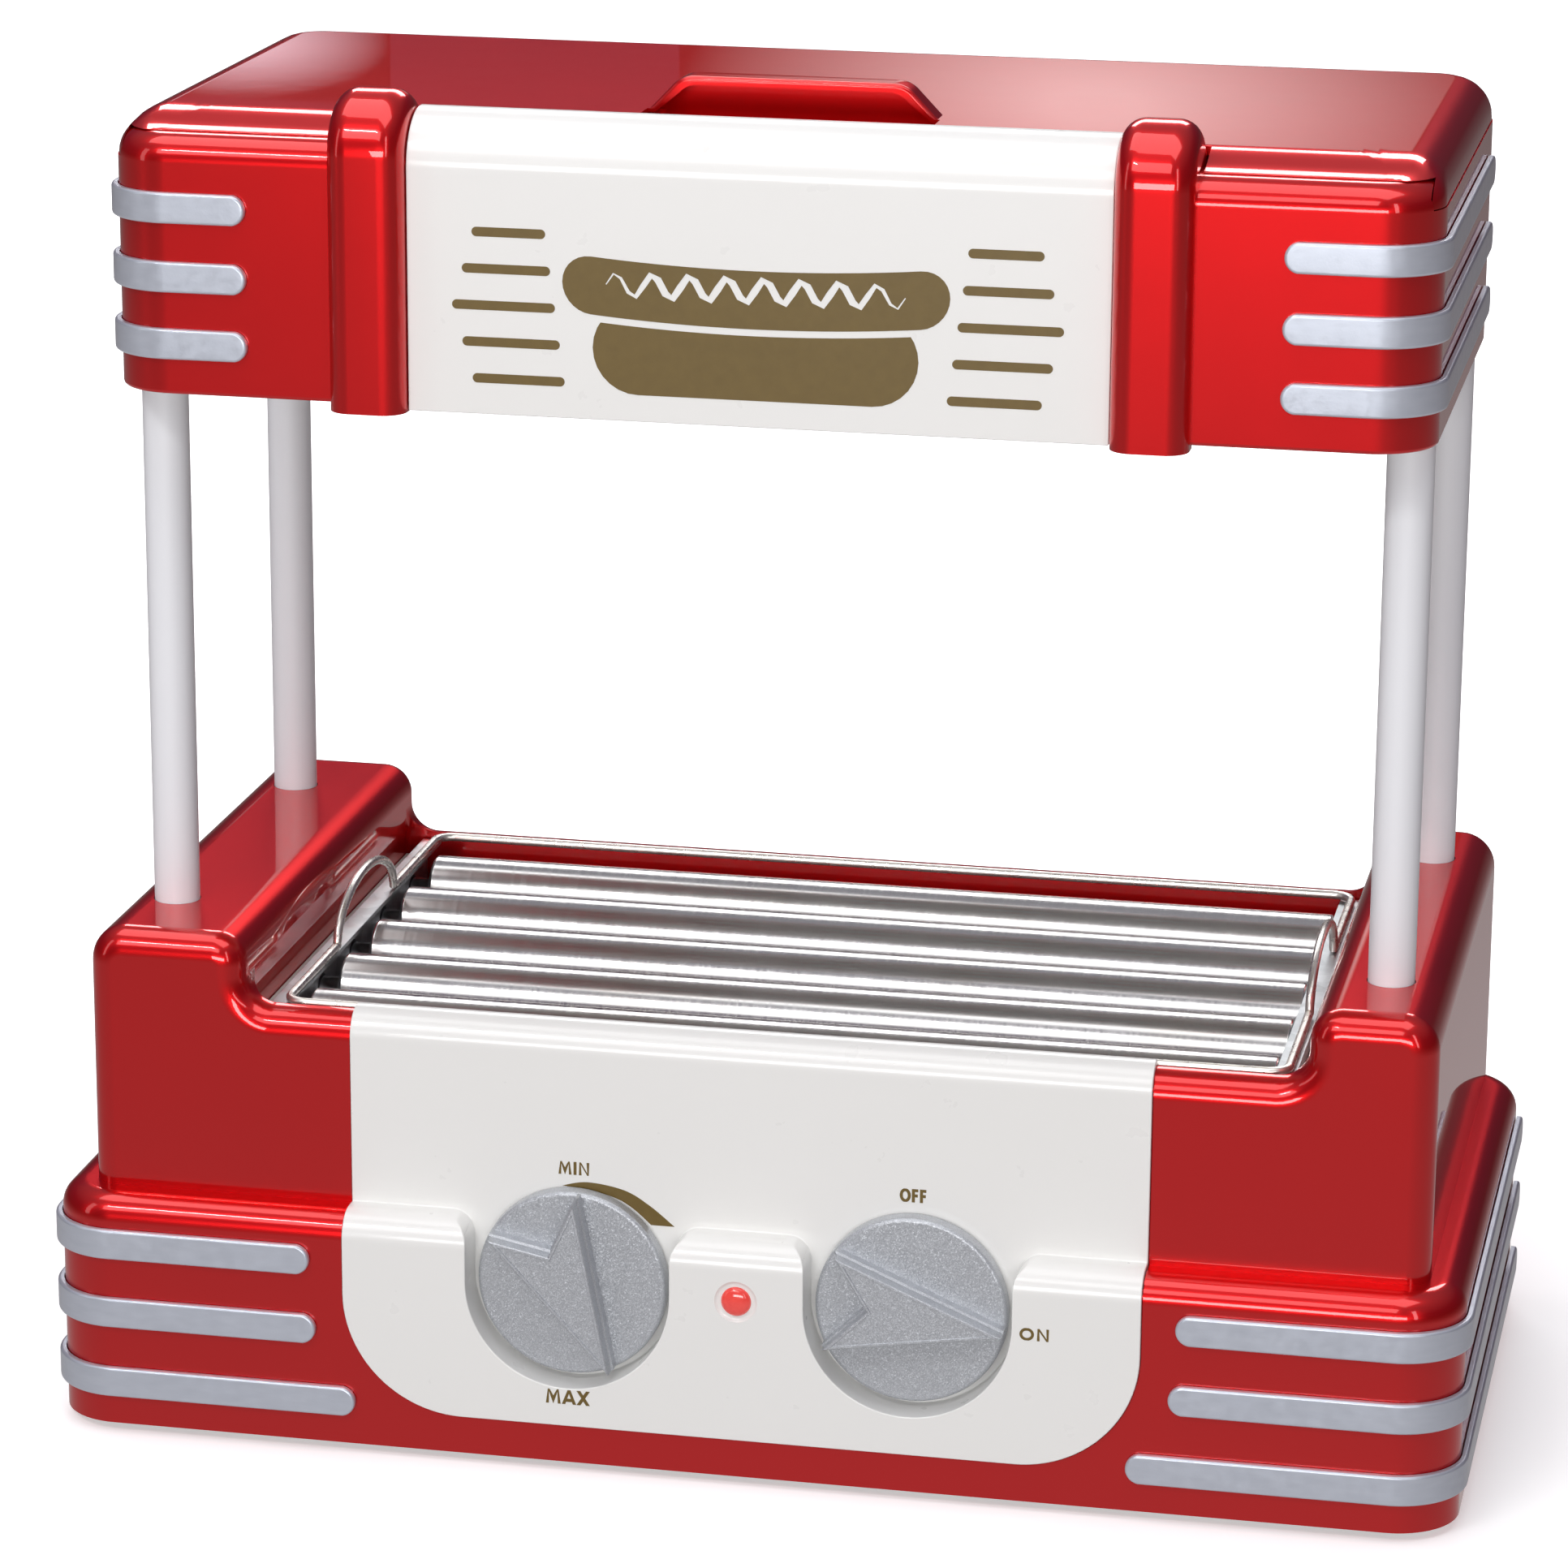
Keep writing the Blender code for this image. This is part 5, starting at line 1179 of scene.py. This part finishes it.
def rollers():
    """Polished tubes with rolled-in ends, pressed end caps and spindles."""
    for i in range(1, 6):
        low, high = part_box(f"roller_{i}")
        at, radius, edge = middle(f"roller_{i}"), (high.z - low.z) / 2, 0.0014
        left, right, spindle = TUBE_LEFT, TUBE_RIGHT, SPINDLE_RADIUS
        profile = (
            [(0, low.x), (spindle - 0.0004, low.x), (spindle, low.x + 0.0004), (spindle, left - 0.0006),
             (0.0058, left - 0.0006), (0.0062, left + 0.0005), (radius - 0.0022, left + 0.0005),
             (radius - 0.0018, left)]
            + [(r, h) for h, r in arc((left + edge, radius - edge), edge, 180, 90, 6)]
            + [(r, h) for h, r in arc((right - edge, radius - edge), edge, 90, 0, 6)]
            + [(radius - 0.0018, right), (radius - 0.0022, right - 0.0005), (0.0062, right - 0.0005),
               (0.0058, right + 0.0006), (spindle, right + 0.0006), (spindle, high.x - 0.0004),
               (spindle - 0.0004, high.x), (0, high.x)]
        )
        along = Matrix.Translation((0, at.y, at.z)) @ Matrix.Rotation(math.radians(90), 4, "Y")
        tube = turned(f"tube_{i}", profile, 96, along)
        finish_piece(tube, TUBE, f"roller_{i}", "stainless_steel", f"roller_{i}")


def wire_frame():
    """A bent wire round the rollers with an arched handle at each end."""
    low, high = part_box("wire_guard")
    radius, corner = 0.0014, 0.006
    left, right = low.x + radius, high.x - radius
    front, back = low.y + radius, high.y - radius
    z = low.z + radius
    arch, half, centre = high.z - radius - z, 0.033, (front + back) / 2

    def handle(x, direction):
        bar = [(x, centre + half * u, z + arch * v) for u, v in arc((0, 0), 1.0, 180, 0, 40)]
        bar = [(x, centre - half - 0.003, z)] + bar + [(x, centre + half + 0.003, z)]
        return bar if direction > 0 else bar[::-1]

    def bend(x, y, start):
        return [(u, v, z) for u, v in arc((x, y), corner, start, start + 90, 10)]

    points = (
        bend(right - corner, front + corner, -90) + handle(right, 1)
        + bend(right - corner, back - corner, 0) + bend(left + corner, back - corner, 90)
        + handle(left, -1) + bend(left + corner, front + corner, 180)
    )
    frame_wire = wire("wire_frame", points, radius, closed=True, resolution=5)
    finish_piece(frame_wire, WIRE, "wire_guard", "stainless_steel", "wire_guard")


def element_tube():
    """The serpentine heater: two straight legs out through the right-hand wall."""
    (start, z), (end, _) = heater_ends()
    tip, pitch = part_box("heating_element")[1].x, (end - start) / 3
    path = [(tip, start)]
    for i in range(3):
        x, first, last = (HEATER_LEFT, 270, 90) if i % 2 == 0 else (HEATER_RIGHT, -90, 90)
        path += arc((x, start + pitch * (i + 0.5)), pitch / 2, first, last, 20)
    path.append((tip, end))
    tube = wire("element_tube", [(x, y, z) for x, y in path], HEATER_RADIUS, resolution=6)
    finish_piece(tube, SHEATH, "frame", "element_sheath", "heating_element")


def end_plates():
    """Folded zinc-coated plates that carry the rollers."""
    for side, outer in SIDES:
        node = f"end_plate_{side}"
        low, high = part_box(node)
        sheet = 0.0015
        face = (low.x, low.x + sheet) if outer < 0 else (high.x - sheet, high.x)
        plate = box(f"roller_plate_{side}", (face[0], low.y, low.z), (face[1], high.y, high.z), 0.0003, 2)
        flange = box(f"flange_{side}", (low.x, low.y, high.z - sheet), (high.x, high.y, high.z), 0.0003, 2)
        join(plate, flange)
        reach = face[0] - 0.02, face[1] + 0.02
        for i in range(1, 6):
            at = middle(f"roller_{i}").yz
            cut(plate, cylinder(f"roller_hole_{side}_{i}", 0, at, *reach, SPINDLE_RADIUS + 0.001))
        if side == "right":
            for i, at in enumerate(heater_ends()):
                cut(plate, cylinder(f"heater_hole_{i}", 0, at, *reach, HEATER_HOLE))
        finish_piece(plate, ZINC, "frame", "galvanised_steel", node)


def tray():
    """A folded drip tray with a hemmed rear lip to pull it by."""
    sheet = 0.0014
    face_y = UPPER_BACK + GAP
    low = Vector((TRAY_LOW.x + 0.006, TRAY_LOW.y, BAY_FLOOR + GAP))
    high = Vector((TRAY_HIGH.x - 0.006, face_y + 0.001, 0.095))
    pan = box("drip_pan", low, high, 0.0005, 3)
    inside = box(
        "pan_inside",
        (low.x + sheet, low.y + sheet, low.z + sheet),
        (high.x - sheet, high.y - sheet - 0.001, high.z + 0.01), 0.0025, 4,
    )
    face = (TRAY_LOW.x, face_y, TRAY_LOW.z), (TRAY_HIGH.x, face_y + 0.0018, 0.100)
    front = box("pan_face", *face, 0.0005, 3)
    lip = box("pan_lip", (-0.035, face_y + 0.001, 0.096), (0.045, TRAY_HIGH.y, 0.0985), 0.0008, 4)
    cut(pan, inside)
    join(pan, front, lip)
    finish_piece(pan, ZINC, "drip_tray", "galvanised_steel", "drip_tray")


# Markings


def ink_slab(name, outlines, front):
    """A shape that stands a hair proud of the face that it is printed on."""
    return slab(name, outlines, "front", front - 0.00008, front + 0.0002)


def printed(shape):
    finish_piece(shape, INK, "frame", "ivory_plastic")


LETTERS = {  # strokes in a box one unit high, some run past it and are trimmed flat
    "M": (0.95, [[(0.07, -0.2), (0.17, 1), (0.475, 0.25), (0.78, 1), (0.88, -0.2)]]),
    "I": (0.24, [[(0.12, -0.2), (0.12, 1.2)]]),
    "N": (0.80, [[(0.11, -0.2), (0.11, 1), (0.69, 0), (0.69, 1.2)]]),
    "A": (0.80, [[(-0.03, -0.2), (0.40, 1), (0.83, -0.2)], [(0.17, 0.28), (0.63, 0.28)]]),
    "X": (0.74, [[(-0.064, -0.2), (0.804, 1.2)], [(-0.064, 1.2), (0.804, -0.2)]]),
    "F": (0.58, [[(0.11, -0.2), (0.11, 1.2)], [(0.1, 0.9), (0.55, 0.9)], [(0.1, 0.50), (0.51, 0.50)]]),
    "O": (0.94, [[(0.47 + 0.37 * math.cos(a), 0.5 + 0.41 * math.sin(a))
                  for a in (math.tau * i / 40 for i in range(41))]]),
}


def stroke(name, points, half, front):
    """A line of even width with square corners, as printed."""
    count = len(points) - 1
    closed = (Vector(points[0]) - Vector(points[-1])).length < 1e-9
    sides = []
    for i, here in enumerate(points):
        before = points[i - 1] if i else (points[-2] if closed else None)
        after = points[i + 1] if i < count else (points[1] if closed else None)
        ways = [(Vector(here) - Vector(before)).normalized()] if before else []
        ways += [(Vector(after) - Vector(here)).normalized()] if after else []
        normals = [Vector((-way.y, way.x)) for way in ways]
        mitre = sum(normals, Vector((0, 0)))
        mitre *= half * len(normals) / max(mitre.length_squared, 0.6)
        sides.append((Vector(here) + mitre, Vector(here) - mitre))
    upper, lower = [a for a, _ in sides], [b for _, b in sides]
    outlines = [upper[:-1], lower[:-1]] if closed else [upper + lower[::-1]]
    return ink_slab(name, outlines, front)


def word(name, text, centre, size, front):
    """A printed word of bold strokes, as wide and high as size."""
    spacing = 0.16
    width = sum(LETTERS[letter][0] + spacing for letter in text) - spacing
    across, height = size[0] / width, size[1]
    left, low = centre[0] - size[0] / 2, centre[1] - size[1] / 2
    printed_word = None
    for letter in text:
        reach, strokes = LETTERS[letter]
        for points in strokes:
            placed = [(left + u * across, low + v * height) for u, v in points]
            piece = stroke(name, placed, 0.11 * height, front)
            if printed_word:
                join(printed_word, piece)
            else:
                printed_word = piece
        left += (reach + spacing) * across
    corners = (
        (centre[0] - size[0], front - 0.01, low), (centre[0] + size[0], front + 0.01, low + height)
    )
    keep(printed_word, box(f"{name}_trim", *corners))
    printed(printed_word)


def stadium(centre, half_length, half_height, bow=0.0, steps=14):
    """A round-ended bar, bowed upward in the middle by bow."""
    x, z = centre
    reach = half_length - half_height
    top = [(-reach + 2 * reach * i / 24, half_height) for i in range(25)]
    end = arc((reach, 0), half_height, 90, -90, steps)[1:-1]
    half_turn = top + end
    outline = half_turn + [(-u, -v) for u, v in half_turn]
    return [(x + u, z + v + bow * (1 - (u / half_length) ** 2)) for u, v in outline]


def band(points, half):
    """An open line with a width, as a closed outline with tapered ends."""
    count = len(points) - 1
    upper, lower = [], []
    for i, (u, v) in enumerate(points):
        (u0, v0), (u1, v1) = points[max(i - 1, 0)], points[min(i + 1, count)]
        along = Vector((u1 - u0, v1 - v0)).normalized()
        width = half * min(1.0, 0.15 + 5 * min(i, count - i) / count)
        upper.append((u - along.y * width, v + along.x * width))
        lower.append((u + along.y * width, v - along.x * width))
    return upper + lower[::-1]


def sign_ornament():
    """A plain sausage-in-a-bun picture with stripes each side."""
    front = SIGN_LOW.y
    mid_z = 0.3560
    bun = stadium((0, mid_z - 0.0125), 0.0480, 0.0135)
    sausage = stadium((0, mid_z + 0.0065), 0.0570, 0.0085, -0.003)
    heel = stadium((0, mid_z + 0.0065), 0.0570, 0.0105, -0.003)
    wave = [(-0.044 + 0.0022 * i, mid_z + 0.0062 + 0.0034 * math.sin(i * math.tau / 5)) for i in range(41)]
    printed(ink_slab("ornament_sausage", [sausage, band(wave, 0.0011)], front))
    lower = ink_slab("ornament_bun", [bun], front)
    cut(lower, slab("ornament_gap", [heel], "front", front - 0.01, front + 0.01))
    printed(lower)
    for side, sign in SIDES:
        for level in range(5):
            z = mid_z + 0.020 - 0.0108 * level
            near, far = 0.062 - 0.0014 * level, 0.090 - 0.003 * abs(level - 2)
            at = (sign * (near + far) / 2, z)
            stripe = stadium(at, (far - near) / 2, 0.0014)
            printed(ink_slab(f"ornament_stripe_{side}_{level}", [stripe], front))


def markings():
    lower, upper = PANEL_LOWER_Y, PANEL_UPPER_Y
    word("word_min", "MIN", (-0.0525, 0.0934), (0.0095, 0.0041), upper)
    word("word_max", "MAX", (-0.0518, 0.0245), (0.0133, 0.0046), lower)
    word("word_off", "OFF", (0.0513, 0.0930), (0.0080, 0.0042), upper)
    word("word_on", "ON", (0.0904, 0.0569), (0.0090, 0.0039), lower)
    outside = [
        (-0.0561, 0.0877), (-0.0483, 0.0893), (-0.0370, 0.0876), (-0.0290, 0.0832), (-0.0215, 0.0772)
    ]
    inside = [(-0.0287, 0.0772), (-0.0340, 0.0818), (-0.0395, 0.0849), (-0.0480, 0.0871)]
    smooth = open_curve(outside) + open_curve(inside)
    printed(ink_slab("heat_crescent", [smooth], upper))
    sign_ornament()


def open_curve(points, steps=8):
    """A smooth line through points, ends included."""
    ends = [points[0]] + points + [points[-1]]
    found = []
    for i in range(len(points) - 1):
        a, b, c, d = (Vector(p) for p in ends[i:i + 4])
        for k in range(steps):
            t = k / steps
            spot = 0.5 * (
                2 * b + (c - a) * t + (2 * a - 5 * b + 4 * c - d) * t * t
                + (3 * b - a - 3 * c + d) * t * t * t
            )
            found.append((spot.x, spot.y))
    return found + [points[-1]]


# Stage


# The photo's camera, as fitted: yaw to the left, pitch up and roll are in radians.
LENS_MM = 130.42
CAMERA_PLACE = (0.33014, -1.66286, 0.67899)
CAMERA_TURN = (0.201, -0.281, 0.0066)


def camera():
    data = bpy.data.cameras.new("camera")
    data.lens, data.sensor_width = LENS_MM, 36
    data.clip_end = 20
    obj = bpy.data.objects.new("camera", data)
    yaw, pitch, roll = CAMERA_TURN
    ahead = Vector((-math.sin(yaw) * math.cos(pitch), math.cos(yaw) * math.cos(pitch), math.sin(pitch)))
    right = Vector((math.cos(yaw), math.sin(yaw), 0))
    up = right.cross(ahead)
    tilted_right = right * math.cos(roll) + up * math.sin(roll)
    tilted_up = up * math.cos(roll) - right * math.sin(roll)
    turn = Matrix((tilted_right, tilted_up, -ahead)).transposed().to_4x4()
    obj.matrix_world = Matrix.Translation(CAMERA_PLACE) @ turn
    bpy.context.scene.collection.objects.link(obj)
    bpy.context.scene.camera = obj


def softbox(name, place, target_z, size, power):
    """A rectangular area light at place, unseen by the camera, that faces a point on the axis."""
    data = bpy.data.lights.new(name, "AREA")
    data.shape = "RECTANGLE"
    data.size, data.size_y = size
    data.energy = power
    light = bpy.data.objects.new(name, data)
    light.location = place
    light.rotation_euler = (Vector((0, 0, target_z)) - Vector(place)).to_track_quat("-Z", "Y").to_euler()
    light.visible_camera = False
    bpy.context.scene.collection.objects.link(light)


def world():
    """White to the camera, and a dim room to everything else, by height."""
    made = bpy.data.worlds.new("studio")
    made.use_nodes = True
    bpy.context.scene.world = made
    tree = made.node_tree
    tree.nodes.clear()
    generated = add_node(tree, "TexCoord", {}).outputs["Generated"]
    upward = add_node(tree, "SeparateXYZ", {0: generated}).outputs["Z"]
    height = add_node(tree, "MapRange", {"Value": upward, "From Min": -1.0})
    ramp = add_node(tree, "ValToRGB", {"Fac": height.outputs["Result"]})
    stops = ramp.color_ramp.elements
    for stop, (position, colour) in zip(stops, (ROOM[0], ROOM[-1])):
        stop.position, stop.color = position, (*colour, 1)
    for position, colour in ROOM[1:-1]:
        stops.new(position).color = (*colour, 1)
    room = add_node(tree, "Background", {"Color": ramp.outputs["Color"]})
    seen = add_node(tree, "Background", {"Color": (1, 1, 1, 1)})
    rays = add_node(tree, "LightPath", {})
    shaders = {0: rays.outputs["Is Camera Ray"], 1: room.outputs[0], 2: seen.outputs[0]}
    surface = add_node(tree, "MixShader", shaders)
    add_node(tree, "OutputWorld", {"Surface": surface.outputs[0]})


# The room's colour by height, from straight down (0) over level (0.5) to straight up (1).
ROOM = (
    (0.0, (0.50, 0.49, 0.49)),
    (0.30, (0.46, 0.44, 0.44)),
    (0.44, (0.14, 0.12, 0.12)),
    (0.52, (0.05, 0.03, 0.04)),
    (0.68, (0.06, 0.035, 0.07)),
    (1.0, (0.36, 0.36, 0.39)),
)


def glowing_sheet(name, paper_name, size, shade, roughness, colour, glow):
    """A flat sheet with no shine, whose glow changes from its middle out as glow says."""
    bm = bmesh.new()
    bmesh.ops.create_grid(bm, x_segments=1, y_segments=1, size=size)
    sheet = mesh_object(name, bm)
    paper = Shader(paper_name, (shade, shade, shade), roughness, specular_ior_level=0.0)
    paper.set("Emission Color", (*colour, 1))
    distance = paper.vector("LENGTH", paper.coordinates, output="Value")
    paper.feed("Emission Strength", paper.spread(distance, *glow))
    sheet.data.materials.append(paper.material)
    bpy.context.scene.collection.objects.link(sheet)
    return sheet, paper


def floor():
    """A pale floor that brightens to white away from the object, and is clear from below."""
    glow = (0.32, 1.0, 0.22, 0.46)
    sheet, paper = glowing_sheet("floor", "pale_floor", 6, 0.94, 0.7, (1, 1, 1), glow)
    shaders = {
        0: paper.add("NewGeometry", "Backfacing"),
        1: paper.shader.outputs[0],
        2: paper.add("BsdfTransparent", 0),
    }
    mixed = paper.add("MixShader", 0, shaders)
    paper.tree.links.new(mixed, paper.tree.nodes["Material Output"].inputs["Surface"])
    sheet.visible_glossy = False
    sheet.visible_diffuse = False


def glow_card(name, place, size, strength, colour):
    """A card that glows at its middle and fades out, seen only in reflections."""
    glow = (strength, 0.0, 0.05, 0.5)
    card, _ = glowing_sheet(name, f"{name}_paper", 0.5, 0, 1.0, colour, glow)
    card.scale = (size[0], size[1], 1)
    card.location = place
    card.rotation_euler = (math.radians(90), 0, 0)
    card.visible_camera = False
    card.visible_diffuse = False
    card.visible_shadow = False


def lights():
    softbox("overhead", (-0.1, -0.2, 1.6), 0.2, (1.8, 0.9), 10)
    softbox("front_high", (-0.6, -2.1, 1.9), 0.2, (1.8, 0.8), 11)
    softbox("key_line", (-0.66, -1.6, 1.8), 0.2, (0.7, 0.05), 7)
    softbox("front_low", (0.1, -2.3, 0.45), 0.15, (1.6, 0.4), 20)
    softbox("left_strip", (-1.7, -1.0, 0.8), 0.2, (0.3, 1.4), 2)
    softbox("right_strip", (1.3, -1.8, 0.9), 0.2, (0.25, 1.4), 4)
    softbox("behind_high", (-0.3, 2.3, 1.7), 0.3, (1.8, 0.7), 22)
    glow_card("roof_glow", (-0.27, 2.4, 0.80), (0.62, 0.24), 1.1, (1.0, 0.95, 0.94))
    glow_card("roof_streak", (-0.93, 2.4, 0.775), (0.26, 0.09), 1.5, (0.95, 0.90, 1.0))


RED, IVORY, SILVER, SATIN = candy_red(), ivory(), knob_silver(), trim_silver()
WHITE, NYLON, RUBBER, LENS, INK = white_plastic(), nylon(), rubber(), lens_red(), ink()
TUBE, WIRE, ZINC = roller_steel(), wire_steel(), galvanised()
PLATE, SHEATH = plain_steel(), element_sheath()

CARRIED = {
    PLATE: ["base_plate", "canopy_floor", "thermostat", "rotary_switch", "gear_motor",
            "hinge_pin_left", "hinge_pin_right"],
    NYLON: ["drive_pinion", "bearing_strip_left", "bearing_strip_right"]
    + [f"roller_gear_{i}" for i in range(1, 6)] + [f"idler_gear_{i}" for i in range(1, 5)],
}
for finish, carried in CARRIED.items():
    for node in carried:
        for place in frame["nodes"][node].material_slots:
            place.material = finish

bpy.context.scene.view_settings.view_transform = "Standard"
camera()
floor()
world()
lights()
housing_shell()
control_skin()
knob("heat_knob_cap", -KNOB_X, HEAT_POINTER)
knob("power_knob_cap", KNOB_X, POWER_POINTER)
pilot_light()
trims()
posts()
feet_and_gland()
canopy_shell()
sign_skin()
lid()
rollers()
wire_frame()
element_tube()
end_plates()
tray()
markings()
